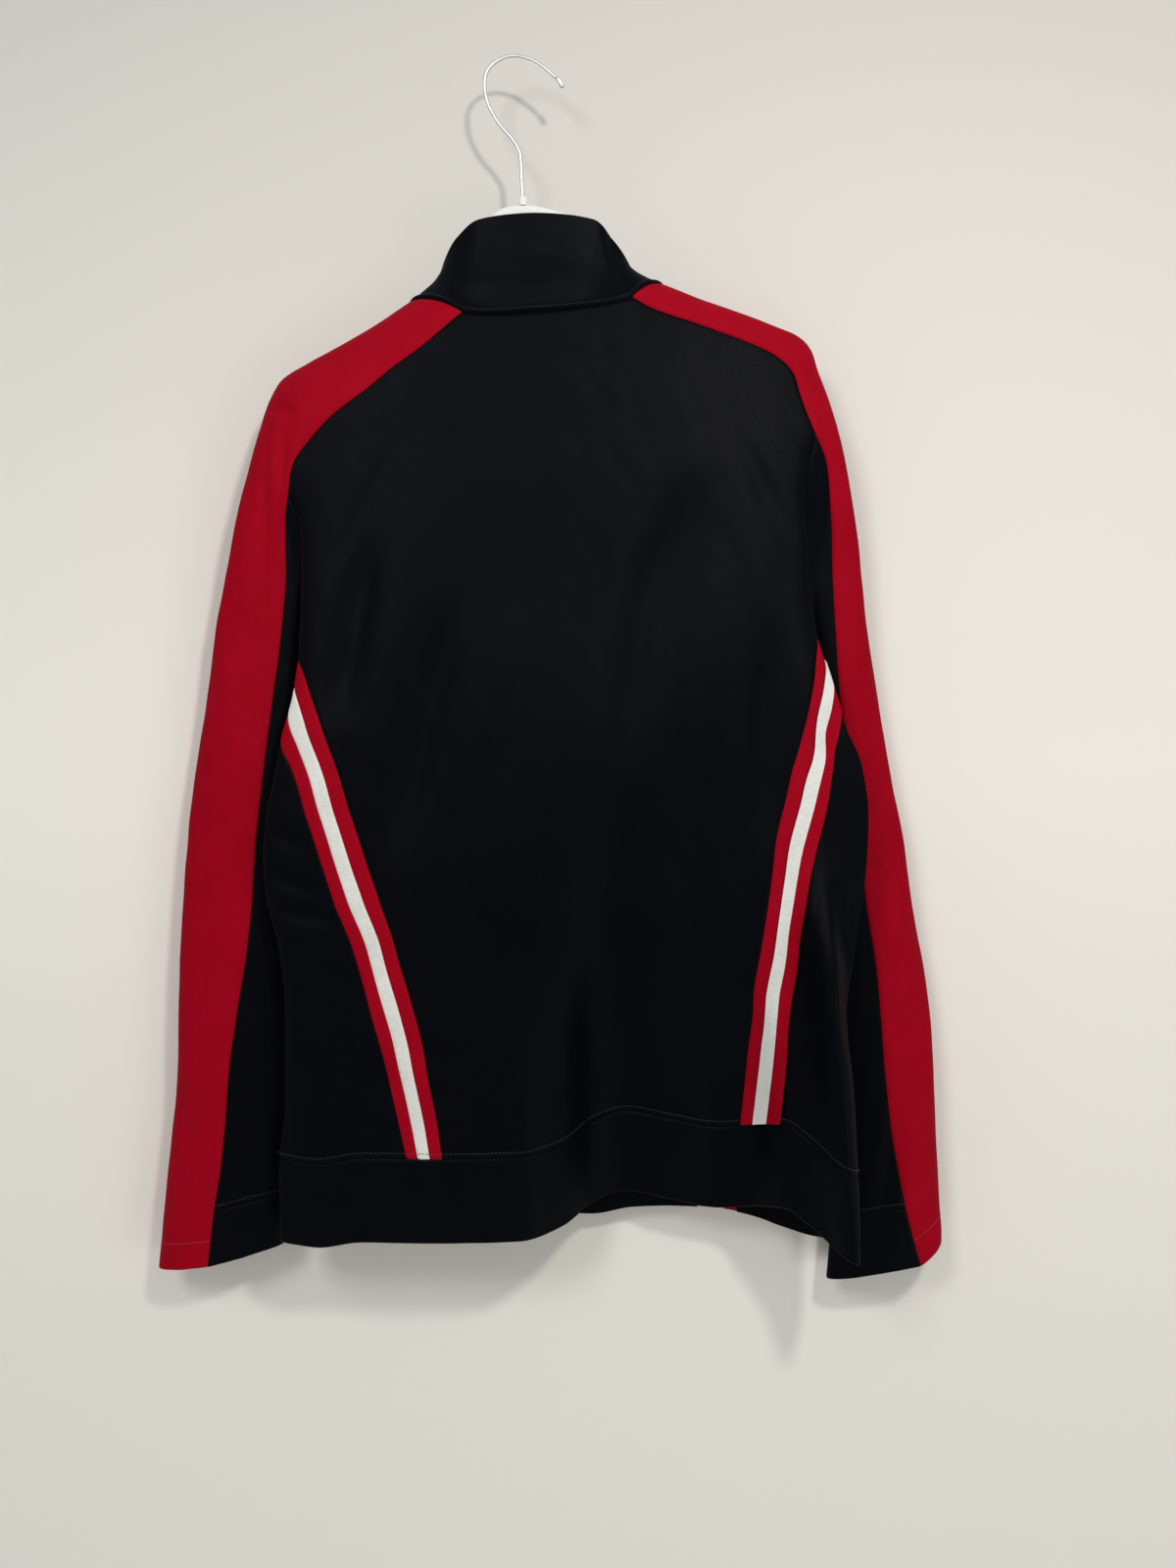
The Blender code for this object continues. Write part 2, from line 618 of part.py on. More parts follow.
def sleeve_stations(side):
    """Back seam, outer line, front seam and inner line of the sleeve, for each row.

    The first row is the armhole's top, the last three are the cuff: seam, middle and edge.
    """
    top = SHOULDERS[side][-1]
    back_top = body(*body_place(top[0], top[1]))
    front_top = body(*body_place(top[4], top[5], True))
    table = SLEEVES[side]
    first = np.array([(back_top[2], top[3], table[0, 2] + INNER_START, back_top[0], top[2],
                       table[0, 5], back_top[1], front_top[1])])
    rows = np.vstack([first, table])
    index = np.arange(len(rows), dtype=float)
    seam_row = len(rows) - 2
    fall = smooth(-rows[:, 0], index, -np.linspace(rows[0, 0], rows[seam_row, 0],
                                                   SLEEVE_ROWS + 1))
    at = np.append(fall, seam_row + np.arange(1, CUFF_ROWS + 1) / CUFF_ROWS)
    seam_z, outer_z, inner_z, seam_x, outer_x, inner_x, back_y, front_y = (
        smooth(index, rows[:, k], at) for k in range(8))
    middle = (back_y + front_y) / 2
    outer_y = middle * ease(at, 0, 3)
    back = np.stack([seam_x, back_y, seam_z], -1)
    front = np.stack([seam_x, front_y, seam_z], -1)
    front[0] = front_top
    front[:len(FRONT_SEAM_SHARES), 0] += (front_top[0] - back_top[0]) * FRONT_SEAM_SHARES
    outer = np.stack([outer_x, outer_y, outer_z], -1)
    inner = np.stack([inner_x, middle, inner_z], -1)
    return back, outer, front, inner


def half_oval(back, apex, front, columns):
    """Half oval from the back seam over the apex to the front seam, for each station."""
    turn = np.linspace(0, math.pi, columns + 1)[None, :, None]
    centre = ((back + front) / 2)[:, None, :]
    reach = np.cos(turn) * ((back - front) / 2)[:, None, :]
    return centre + reach + np.sin(turn) * (apex[:, None, :] - centre)


def shoulder_stations(side):
    """Back seam, ridge and front seam of the shoulder panel, from the neck to the armhole."""
    rows = SHOULDERS[side]
    back = body(*body_place(rows[:, 0], rows[:, 1]).T)
    front = body(*body_place(rows[:, 4], rows[:, 5], True).T)
    ridge = np.stack([rows[:, 2], np.zeros(len(rows)), rows[:, 3]], -1)
    return back, ridge, front


def red_patch(side):
    """The long panel from the neck over the shoulder and down the sleeve to its edge."""
    shoulder, sleeve = shoulder_stations(side), sleeve_stations(side)
    back, ridge, front = (np.vstack([a, b[1:]]) for a, b in zip(shoulder, sleeve[:3]))
    points = half_oval(back, ridge, front, RED_COLUMNS)
    centre = points[:, [0, -1]].mean(axis=1, keepdims=True)
    return grid_patch(points, points - centre)


def under_patch(side, armhole, armhole_normals):
    """The sleeve's under piece: each column starts on the armhole and joins the oval tube.

    A column starts where the tube is as low as its armhole point, and its distance from
    the tube dies away below. Beside the underarm it starts a little clear of the body.
    """
    back, _, front, inner = sleeve_stations(side)
    columns = len(armhole) - 1
    tube = half_oval(back, inner, front, columns)
    outward = tube - ((back + front) / 2)[:, None, :]
    station = np.arange(SLEEVE_ROWS + 1, dtype=float)
    points = np.zeros((SLEEVE_ROWS + 1 + CUFF_ROWS, columns + 1, 3))
    for c in range(columns + 1):
        line = tube[:SLEEVE_ROWS + 1, c]
        first = 0.0 if c in (0, columns) else np.interp(-armhole[c, 2], -line[:, 2], station)
        at = first + (SLEEVE_ROWS - first) * station / SLEEVE_ROWS
        on_tube = np.stack([np.interp(at, station, line[:, k]) for k in range(3)], -1)
        away = unit(outward[min(int(round(first)), SLEEVE_ROWS), c])
        facing = float(np.dot(away, armhole_normals[c]))
        start = armhole[c] + armhole_normals[c] * UNDERARM_CLEARANCE * (1 - facing) / 2
        fallen = on_tube[0, 2] - on_tube[:, 2]
        points[:SLEEVE_ROWS + 1, c] = on_tube + (start - on_tube[0]) * np.exp(
            -(fallen / ARMHOLE_REACH) ** ARMHOLE_FADE)[:, None]
    points[SLEEVE_ROWS:, :] = tube[SLEEVE_ROWS:]
    return grid_patch(points, points - points[:, [0, -1]].mean(axis=1, keepdims=True))


# ---------------------------------------------------------------- cloth pieces

def body_patches():
    """The back and both fronts, each with the angles and heights of its grid."""
    back = body_patch(panel_edge("left", False), panel_edge("right", False), BACK_COLUMNS,
                      NECK_BOW, NECK_BOW_REACH)
    fronts = {}
    for side in SIGN:
        edge = panel_edge(side, True)
        fronts[side] = body_patch(edge, zip_edge(side, len(edge)), FRONT_COLUMNS,
                                  FRONT_NECK_BOW, FRONT_NECK_BOW_REACH)
    return back, fronts


def band_patch(angles):
    """A stretch of the hem band below columns at the given angles."""
    heights = np.linspace(HEM, HEM_SEAM, HEM_ROWS + 1)[:, None] + 0 * angles[None, :]
    turns = heights * 0 + angles[None, :]
    return Patch(body(turns, heights), body_normal(turns, heights))


def build_tapes(collection):
    """Three strips for the back and the front of each side; the front ones reach the hem."""
    columns = {}
    for side in SIGN:
        for front in (False, True):
            edges = tape_edges(side, front)
            columns[side, front] = edges
            place = "front" if front else "back"
            for k, strip in enumerate(reversed(TAPE_STRIPS)):
                a, b = edges[k], edges[k + 1]
                seams = ["start", "end", "left", "right"]
                if front:
                    low = np.linspace(HEM, HEM_SEAM, HEM_ROWS + 1)[:-1]
                    a = np.vstack([np.stack([low * 0 + a[0, 0], low], -1), a])
                    b = np.vstack([np.stack([low * 0 + b[0, 0], low], -1), b])
                    seams = ["end", "left", "right"]
                patch = body_patch(a, b, 1)[0]
                finish = "white_fabric" if strip == "white" else "red_fabric"
                add_cloth(f"tape_{place}_{side}_{strip}", patch, PANEL_WALL, seams, finish,
                          collection)
    return columns


def build_side_panels(tapes, collection):
    """The panel between the two tapes of each side, which ends in a point below the arm."""
    angles = {}
    for side in SIGN:
        patch, places = body_patch(tapes[side, False][-1], tapes[side, True][-1],
                                   SIDE_COLUMNS)
        for grid in (patch.points, patch.normals):
            grid[-1] = grid[-2] + SIDE_POINT * (grid[-1] - grid[-2])
        angles[side] = places[0, :, 0]
        add_cloth("side_panel_" + side, patch, PANEL_WALL, ("start", "end", "left", "right"),
                  "black_fabric", collection)
    return angles


def build_hem(back_places, fronts, tapes, side_angles, collection):
    """The hem band: one piece round the back between the front tapes, and one on each front."""
    angles = [side_angles["left"][::-1], [e[0, 0] for e in reversed(tapes["left", False])],
              back_places[0, :, 0], [e[0, 0] for e in tapes["right", False]],
              side_angles["right"]]
    merged = []
    for angle in np.concatenate(angles):
        if not merged or abs(angle - merged[-1]) > 1e-6:
            merged.append(float(angle))
    patches = {"hem_band_back": band_patch(np.array(merged))}
    for side in SIGN:
        patches["hem_band_front_" + side] = band_patch(fronts[side][1][0, :, 0])
    for name, patch in patches.items():
        add_cloth(name, patch, BAND_WALL, ("end", "left", "right"), "black_fabric", collection)
    return patches


def sleeve_patches(back, fronts):
    """Shoulder and sleeve panel and under-sleeve of each arm, joined along their seams."""
    reds, unders = {}, {}
    top = TAPE_ROWS + ARMHOLE_ROWS
    for side in SIGN:
        column = 0 if side == "left" else -1
        front = fronts[side][0]
        armhole = slice(TAPE_ROWS, top + 1)
        points = np.vstack([back.points[armhole, column][::-1], front.points[armhole, 0][1:]])
        normals = np.vstack([back.normals[armhole, column][::-1],
                             front.normals[armhole, 0][1:]])
        red, under = red_patch(side), under_patch(side, points, normals)
        shoulder = slice(0, len(SHOULDERS[side]))
        sleeve = slice(len(SHOULDERS[side]) - 1, None)
        down = slice(None, top - 1, -1)
        share_normals(red, (shoulder, 0), back, (down, column))
        share_normals(red, (shoulder, -1), front, (down, 0))
        share_normals(red, (sleeve, 0), under, (slice(None), 0))
        share_normals(red, (sleeve, -1), under, (slice(None), -1))
        reds[side], unders[side] = red, under
    return reds, unders


def collar_patch(back, fronts, reds):
    """Stand-up collar: each column rises from the neck seam to the sloping top edge."""
    backwards = slice(None, None, -1)
    neck = ((fronts["left"][0], (-1, backwards)), (reds["left"], (0, backwards)),
            (back, (-1, slice(None))), (reds["right"], (0, slice(None))),
            (fronts["right"][0], (-1, slice(None))))
    base = np.vstack([patch.points[index][1 if k else 0:]
                      for k, (patch, index) in enumerate(neck)])
    turn = np.degrees(np.arctan2(base[:, 0] - COLLAR_CENTRE[0], base[:, 1] - COLLAR_CENTRE[1]))
    turn[0], turn[-1] = 180.0, -180.0
    top = np.stack([smooth(COLLAR_TOP[:, 0], COLLAR_TOP[:, k], turn) for k in (1, 2, 3)], -1)
    top[0, 0], top[-1, 0] = ZIP_X_NECK + ZIP_OPENING / 2, ZIP_X_NECK - ZIP_OPENING / 2
    rise = np.linspace(0, 1, COLLAR_ROWS + 1)[:, None, None]
    lean = 1 - (1 - rise) ** COLLAR_FLARE
    points = base[None] + (top - base)[None] * np.concatenate([lean, lean, rise], axis=-1)
    outward = (points - np.array([*COLLAR_CENTRE, 0.0])) * np.array([1, 1, 0])
    collar = grid_patch(points, outward)
    start = 0
    for patch, index in neck:
        count = len(patch.points[index])
        share_normals(patch, index, collar, (0, slice(start, start + count)))
        start += count - 1
    return collar


def build_panels(back, fronts, reds, unders, collar, collection):
    """Back, fronts, shoulder panels, under-sleeves, cuffs and collar."""
    sewn_round = ("start", "end", "left", "right")
    add_cloth("back_panel", back, PANEL_WALL, sewn_round, "black_fabric", collection)
    for side in SIGN:
        under = unders[side]
        upper = Patch(under.points[:SLEEVE_ROWS + 1], under.normals[:SLEEVE_ROWS + 1])
        cuff = Patch(under.points[SLEEVE_ROWS:], under.normals[SLEEVE_ROWS:])
        add_cloth("front_panel_" + side, fronts[side][0], PANEL_WALL, sewn_round,
                  "black_fabric", collection)
        add_cloth("shoulder_panel_" + side, reds[side], PANEL_WALL,
                  ("start", "left", "right"), "red_fabric", collection)
        add_cloth("under_sleeve_" + side, upper, PANEL_WALL, sewn_round, "black_fabric",
                  collection)
        add_cloth("cuff_band_" + side, cuff, BAND_WALL, ("start", "left", "right"),
                  "black_fabric", collection)
    add_cloth("collar", collar, COLLAR_WALL, ("start", "left", "right"), "black_fabric",
              collection)


def build_zip(fronts, collar, hems, collection):
    """Zip tapes and chain, which fill the opening from the hem up to the collar's edge."""
    sides = []
    for side, column in (("left", 0), ("right", -1)):
        band = hems["hem_band_front_" + side]
        front = fronts[side][0]
        sides.append((np.vstack([band.points[:-1, -1], front.points[:, -1],
                                 collar.points[1:, column]]),
                      np.vstack([band.normals[:-1, -1], front.normals[:, -1],
                                 collar.normals[1:, column]])))
    (left, left_n), (right, right_n) = sides
    normals = unit(left_n + right_n)
    chain = CHAIN_WIDTH / ZIP_OPENING / 2
    for name, low, high in (("left", 0.0, 0.5 - chain), ("right", 0.5 + chain, 1.0)):
        points = np.stack([left + (right - left) * s for s in (low, high)], axis=1)
        patch = Patch(points, np.stack([normals, normals], axis=1))
        add_cloth("zip_tape_" + name, patch, ZIP_TAPE_WALL, ("left", "right"), "zip_tape",
                  collection)
    shares = (0.5 - chain, 0.5, 0.5 + chain)
    points = np.stack([left + (right - left) * s for s in shares], axis=1)
    chain_normals = np.repeat(normals[:, None], len(shares), axis=1)
    below = SLIDER_BELOW_TOP + SLIDER_POST_HEIGHT + SLIDER_CLEARANCE
    points[-1] += (points[-2] - points[-1]) * below / np.linalg.norm(
        points[-2] - points[-1], axis=-1, keepdims=True)
    add_cloth("zip_chain", Patch(points, chain_normals), CHAIN_THICKNESS / 2 + CHAIN_BACKSET,
              ("left", "right"), "zip_chain", collection,
              rise=CHAIN_THICKNESS / 2 - CHAIN_BACKSET)
    return (left[-1] + right[-1]) / 2


# ---------------------------------------------------------------- hard pieces

def box_mesh(work, low, high):
    """Adds a box between two corners to a bmesh."""
    low, high = np.array(low, float), np.array(high, float)
    made = bmesh.ops.create_cube(work, size=1.0)["verts"]
    bmesh.ops.scale(work, vec=(high - low).tolist(), verts=made)
    bmesh.ops.translate(work, vec=((high + low) / 2).tolist(), verts=made)


def box_object(name, low, high, collection):
    """A box as an object, in metres."""
    work = bmesh.new()
    box_mesh(work, np.array(low) * MM, np.array(high) * MM)
    mesh = bpy.data.meshes.new(name)
    work.to_mesh(mesh)
    work.free()
    made = bpy.data.objects.new(name, mesh)
    collection.objects.link(made)
    return made


def boolean(target, tool, operation):
    """A Boolean modifier that stays on the target; the tool is kept out of the part."""
    step = target.modifiers.new(operation.lower(), "BOOLEAN")
    step.operation = operation
    step.solver = "EXACT"
    step.object = tool
    tool.hide_render = True
    tool.display_type = "WIRE"


def build_slider(top, collection, cutters):
    """Slider at the top of the chain: two plates joined by a post, and a bail on the front."""
    x, z_top = top[0], top[2] - SLIDER_BELOW_TOP
    front = top[1] - CHAIN_THICKNESS / 2 - SLIDER_CLEARANCE
    back = top[1] + CHAIN_THICKNESS / 2 + 2 * SLIDER_CLEARANCE
    half, post = SLIDER_WIDTH / 2, SLIDER_POST_WIDTH / 2
    low = z_top - SLIDER_LENGTH
    slider = box_object("zip_slider", (x - half, front - SLIDER_PLATE, low),
                        (x + half, front, z_top), collection)
    slider.data.materials.append(material("zip_slider", "zip_metal"))
    plate = box_object("slider_back_plate", (x - half, back, low),
                       (x + half, back + SLIDER_PLATE, z_top), cutters)
    neck = box_object("slider_post",
                      (x - post, front - SLIDER_LAP, z_top - SLIDER_POST_HEIGHT),
                      (x + post, back + SLIDER_LAP, z_top), cutters)
    z_mid = z_top - SLIDER_LENGTH / 2
    tall = BAIL_OPENING_HEIGHT / 2 + BAIL_BAR
    face = front - SLIDER_PLATE
    bail = box_object("slider_bail", (x - BAIL_WIDTH / 2,
                                      face - BAIL_OPENING_DEPTH - BAIL_BAR, z_mid - tall),
                      (x + BAIL_WIDTH / 2, face + SLIDER_LAP, z_mid + tall), cutters)
    hole = box_object("slider_bail_hole", (x - BAIL_WIDTH, face - BAIL_OPENING_DEPTH,
                                           z_mid - BAIL_OPENING_HEIGHT / 2),
                      (x + BAIL_WIDTH, face, z_mid + BAIL_OPENING_HEIGHT / 2), cutters)
    boolean(slider, plate, "UNION")
    boolean(slider, neck, "UNION")
    boolean(slider, bail, "UNION")
    boolean(slider, hole, "DIFFERENCE")
    return np.array([x, face - BAIL_OPENING_DEPTH / 2, z_mid])


def build_pull(pivot, collection, cutters):
    """Pull tab: a rounded plate that hangs from the bail by the bar above its hole."""
    holder = bpy.data.objects.new("zip_pull_axis", None)
    holder.location = (pivot * MM).tolist()
    collection.objects.link(holder)
    half, thick = PULL_WIDTH / 2, PULL_THICKNESS / 2
    top, low = PULL_BAR / 2, PULL_BAR / 2 - PULL_LENGTH
    neck, end = half * PULL_NECK_SHARE, half * PULL_END_SHARE
    right = [(end, low), (half, low + PULL_END_CORNER), (neck, -PULL_NECK_LENGTH),
             (neck, top - PULL_TOP_CORNER), (neck - PULL_TOP_CORNER, top)]
    outline = right + [(-x, z) for x, z in reversed(right)]
    count = len(outline)
    points = [(x, y, z) for y in (-thick, thick) for x, z in outline]
    faces = [list(range(count)), list(range(2 * count - 1, count - 1, -1))]
    faces += [[i + count, (i + 1) % count + count, (i + 1) % count, i] for i in range(count)]
    pull = add_mesh("zip_pull", points, faces, "zip_metal", collection)
    pull.parent = holder
    hole = box_object("pull_hole", (-PULL_HOLE_WIDTH / 2, -PULL_THICKNESS,
                                    -PULL_BAR / 2 - PULL_HOLE_HEIGHT),
                      (PULL_HOLE_WIDTH / 2, PULL_THICKNESS, -PULL_BAR / 2), cutters)
    hole.parent = holder
    boolean(pull, hole, "DIFFERENCE")


# ---------------------------------------------------------------- hanger

def hanger_line():
    """Top of the hanger from the left tip to the right: under the ridges, free at the neck."""
    line = []
    for side, order in (("left", -1), ("right", 1)):
        rows = SHOULDERS[side][1:5, 2:4]
        ridge = np.stack([rows[:, 0], rows[:, 1] - ARM_CLEARANCE], -1)
        ridge[-1] = ridge[-2] + (ridge[-1] - ridge[-2]) * ARM_END_SHARE
        line.append(ridge[::order])
    return line[0], np.array(HANGER_NECK, float), line[1]


def build_hanger(collection):
    """Hanger body: an oval bar along the line of its top, closed and rounded at the tips."""
    left, neck, right = hanger_line()
    top = np.vstack([left, through(neck, NECK_STATIONS), right])
    tangent = unit(np.gradient(top, axis=0))
    normal = np.stack([-tangent[:, 1], tangent[:, 0]], -1)
    normal *= np.sign(normal[:, 1:2])
    size = np.ones(len(top))
    size[[0, -1]] = ARM_TIP_SHARE
    centre = top - normal * ARM_HEIGHT / 2
    turn = np.linspace(0, 2 * math.pi, ARM_SIDES, endpoint=False)
    rings = []
    for k in range(len(top)):
        lift = np.cos(turn) * ARM_HEIGHT / 2 * size[k]
        depth = np.sin(turn) * ARM_DEPTH / 2 * size[k]
        place = centre[k][None] + normal[k][None] * lift[:, None]
        rings.append(np.stack([place[:, 0], depth, place[:, 1]], -1))
    points = np.array(rings).reshape(-1, 3)
    faces = []
    for k in range(len(top) - 1):
        for s in range(ARM_SIDES):
            a, b = k * ARM_SIDES + s, k * ARM_SIDES + (s + 1) % ARM_SIDES
            faces.append([a, b, b + ARM_SIDES, a + ARM_SIDES])
    last = (len(top) - 1) * ARM_SIDES
    faces += [list(range(ARM_SIDES))[::-1], [last + s for s in range(ARM_SIDES)]]
    add_mesh("hanger_body", points, faces, "hanger_plastic", collection)


def build_boss(collection):
    """Short round boss on the hanger's top that holds the foot of the hook."""
    low = HANGER_TOP + BOSS_SEAT
    work = bmesh.new()
    bmesh.ops.create_cone(work, cap_ends=True, segments=BOSS_SIDES,
                          radius1=(BOSS_RADIUS + BOSS_TAPER) * MM,
                          radius2=BOSS_RADIUS * MM, depth=(BOSS_TOP - low) * MM)
    bmesh.ops.translate(work, vec=(BOSS_X * MM, 0, (BOSS_TOP + low) / 2 * MM),
                        verts=work.verts)
    mesh = bpy.data.meshes.new("hanger_boss")
    work.to_mesh(mesh)
    work.free()
    mesh.shade_smooth()
    mesh.set_sharp_from_angle(angle=SHARP_EDGE)
    add_object("hanger_boss", mesh, "hanger_plastic", collection)


def build_wire(name, path, count, diameter, finish, collection):
    """A round wire along a smooth curve through the path's points."""
    curve = bpy.data.curves.new(name, "CURVE")
    curve.dimensions = "3D"
    curve.bevel_depth = diameter / 2 * MM
    curve.bevel_resolution = 2
    curve.use_fill_caps = True
    line = through(path, count)
    spline = curve.splines.new("POLY")
    spline.points.add(count - 1)
    for point, (x, z) in zip(spline.points, line):
        point.co = (x * MM, 0.0, z * MM, 1.0)
    return add_object(name, curve, finish, collection)


# ---------------------------------------------------------------- the part

def main():
    clear_scene()
    part = bpy.data.collections.new("track_jacket_on_hanger")
    cutters = bpy.data.collections.new("cutters")
    for collection in (part, cutters):
        bpy.context.scene.collection.children.link(collection)

    (back, back_places), fronts = body_patches()
    reds, unders = sleeve_patches(back, fronts)
    collar = collar_patch(back, fronts, reds)
    build_panels(back, fronts, reds, unders, collar, part)
    tapes = build_tapes(part)
    side_angles = build_side_panels(tapes, part)
    hems = build_hem(back_places, fronts, tapes, side_angles, part)
    top = build_zip(fronts, collar, hems, part)
    pivot = build_slider(top, part, cutters)
    build_pull(pivot, part, cutters)
    build_hanger(part)
    build_boss(part)
    build_wire("hanger_hook", HOOK_PATH, HOOK_STATIONS, HOOK_WIRE, "hook_wire", part)
    build_wire("hanger_hook_tip", HOOK_TIP_PATH, HOOK_TIP_STATIONS, HOOK_TIP_DIAMETER,
               "clear_tip", part)


main()
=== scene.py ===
"""Zip-up track jacket on a plastic hanger, seen from the back, dressed over its rigid frame.

Lengths in the tables are in millimetres in the part's own frame: +Z up, the wearer's left is
+X, the front faces -Y, and the origin is under the hook's bend. Every cloth piece is a grid
on a worked-out surface: a ring for each height of the body, a half oval for each station of
the sleeves, and the straight rise of the collar from the neck seam to its edge. Creases, the
dip of each seam and the stitches are added to those grids before they become meshes.
"""
import math

import bmesh
import bpy
import numpy as np
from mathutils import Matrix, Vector


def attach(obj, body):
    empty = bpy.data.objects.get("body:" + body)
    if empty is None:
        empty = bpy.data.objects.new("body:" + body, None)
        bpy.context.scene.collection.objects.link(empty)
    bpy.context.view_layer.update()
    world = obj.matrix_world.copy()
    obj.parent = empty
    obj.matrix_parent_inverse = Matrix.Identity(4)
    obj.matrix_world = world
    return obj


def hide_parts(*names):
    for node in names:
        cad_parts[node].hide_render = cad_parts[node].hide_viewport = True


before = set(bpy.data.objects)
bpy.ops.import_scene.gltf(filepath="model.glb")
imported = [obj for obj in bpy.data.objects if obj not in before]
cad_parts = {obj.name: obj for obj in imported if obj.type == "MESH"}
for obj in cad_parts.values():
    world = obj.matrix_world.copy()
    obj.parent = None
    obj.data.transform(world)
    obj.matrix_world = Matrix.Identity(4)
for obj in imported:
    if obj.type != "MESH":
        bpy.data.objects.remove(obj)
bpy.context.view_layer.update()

MM = 0.001
SIGN = {"left": 1.0, "right": -1.0}
JACKET, PULL = "jacket", "pull_tab"

# ---------------------------------------------------------------- sizes

# Cloth: walls, how finely each grid is cut, and the reach of a seam's dip
PANEL_WALL, COLLAR_WALL, BAND_WALL, ZIP_TAPE_WALL = 1.5, 2.6, 2.2, 1.0
CELL = 3.0
SEAM_STEPS = (0.35, 0.8, 1.4, 2.2, 3.4, 5.0)
SEAM_REACH = 1.5
# The turned-in layers of a seam fade between these distances past their width
LAYER_FADE = (-0.6, 1.4)
# A wall's rim: the shares of the wall at its two rings, and how far a free edge bulges
RIM_SHARES = (0.3, 0.7)
EDGE_BULGE = 0.45
# The three strips of each side tape, from its inner edge to its outer
TAPE_STRIPS = ("inner_red", "white", "outer_red")
# Widths for which the columns of each piece are spaced
BACK_SPAN, FRONT_SPAN, SIDE_SPAN, TAPE_STRIP_SPAN = 420, 190, 110, 13
# Columns of the hem band below each strip of tape, and of each zip tape
TAPE_HEM_STEPS, ZIP_TAPE_COLUMNS = 6, 8
# Angle past which two faces of a hard piece meet in a sharp edge
SHARP_ANGLE, TOOTH_SHARP_ANGLE = 45, 40

# Topstitches: length, gap and thickness, and a thread's four rings: share of its length,
# share of its width, and height above the cloth as a share of its thickness
STITCH_LENGTH, STITCH_GAP, THREAD = 2.6, 0.7, 0.42
THREAD_SHARES = np.array([0.0, 0.22, 0.78, 1.0])
THREAD_WIDTHS = np.array([0.35, 1.0, 1.0, 0.35])
THREAD_RISE = np.array([-0.35, 0.1, 0.1, -0.35])

# Body: heights along the centre line, then the angle of the side, the powers that flatten
# its sheets, how far the waves of the hem and the bow of the neck reach, where the back
# gives way to the front, and the zip's opening
HEM, HEM_SEAM, UNDERARM, FRONT_NECK = -986.0, -918.0, -497.0, -290.0
SIDE_LINE = 100.0
BACK_ROUNDNESS, FRONT_ROUNDNESS = 0.60, 0.65
HEM_FADE = 210.0
NECK_BOW, NECK_BOW_REACH = -7.0, 60.0
FRONT_NECK_BOW, FRONT_NECK_BOW_REACH = -12.0, 90.0
BOW_ROUNDNESS = 0.8
BACK_REACH = (-0.35, 0.15)
FOLD_FADE = 0.35
ZIP_X_HEM, ZIP_X_NECK, ZIP_OPENING = -25.0, -20.0, 17.0
# Rounds in which a point's height on the tilted rings is worked out
PLACE_ROUNDS = 4

# height, left side x, right side x, tilt, left side y, right side y, back y, front y
RINGS = np.array([
    (-986, 197, -270, 0.000, 28, 50, 42, -20),
    (-930, 198, -270, 0.000, 28, 48, 44, -20),
    (-870, 193, -268, 0.000, 28, 46, 46, -20),
    (-800, 193, -264, 0.000, 28, 45, 48, -20),
    (-750, 198, -272, 0.000, 28, 45, 48, -20),
    (-710, 208, -279, 0.000, 28, 45, 48, -20),
    (-676, 211, -283, 0.004, 28, 45, 48, -20),
    (-642, 209, -284, 0.010, 28, 45, 48, -20),
    (-606, 202, -279, 0.018, 28, 44, 48, -20),
    (-575, 196, -266, 0.025, 28, 42, 48, -20),
    (-540, 187, -255, 0.032, 27, 38, 47, -20),
    (-505, 182, -245, 0.040, 26, 32, 46, -20),
    (-460, 181, -239, 0.055, 24, 27, 44, -20),
    (-400, 183, -236, 0.085, 19, 22, 42, -20),
    (-370, 190, -243, 0.100, 14, 16, 41, -21),
    (-351, 207, -256, 0.105, 8, 9, 40, -22),
    (-335, 220, -262, 0.102, 4, 4, 39, -23),
    (-303, 224, -258, 0.096, 0, 0, 38, -24),
    (-275, 217, -248, 0.092, 0, 0, 37, -25),
    (-256, 207, -233, 0.090, 0, 0, 36, -26),
    (-240, 180, -205, 0.090, 0, 0, 35, -27),
    (-222, 145, -170, 0.090, 0, 0, 33, -28),
], float)

# Waves of the back hem: share of the half width (+1 is the left side), y shift, rise
BACK_HEM = np.array([
    (-1.00, 0, -6), (-0.94, 6, 0), (-0.85, 8, 16), (-0.77, 0, 26), (-0.66, -28, 18),
    (-0.55, -38, 13), (-0.40, -39, 19), (-0.24, -42, 24), (-0.10, -33, 17), (0.00, -12, 7),
    (0.15, 6, 1), (0.37, 8, 0), (0.70, 5, -1), (0.86, 3, -7), (0.94, 1, -6), (1.00, 0, -5),
], float)
# Waves of the front hem, with the same columns
FRONT_HEM = np.array([
    (-1.00, 0, -6), (-0.90, 2, -8), (-0.80, 2, -4), (-0.70, 0, 2), (-0.60, 0, 6),
    (-0.45, 0, 8), (-0.25, 0, 6), (-0.10, 0, 0), (0.50, -2, 0), (1.00, 0, -5),
], float)

# Soft folds of the back: x and z at the top, middle and low end, half width, height out of
# the cloth (a trough is below 0), and the share of the height that is left at the low end
FOLDS = (
    (-240, -655, -250, -770, -268, -985, 20, 32, 1.0),
    (-262, -690, -262, -770, -264, -850, 8, -9, 0.0),
    (120, -400, 135, -500, 151, -580, 16, -6, 0.0),
    (53, -450, 80, -580, 111, -700, 18, -7, 0.0),
    (-150, -340, -100, -520, -88, -640, 24, -10, 0.3),
    (-90, -600, -70, -731, -68, -900, 24, -9, 0.5),
    (-209, -470, -200, -561, -200, -690, 12, -5, 0.0),
    (-20, -400, -10, -600, 20, -800, 42, 6, 0.0),
)

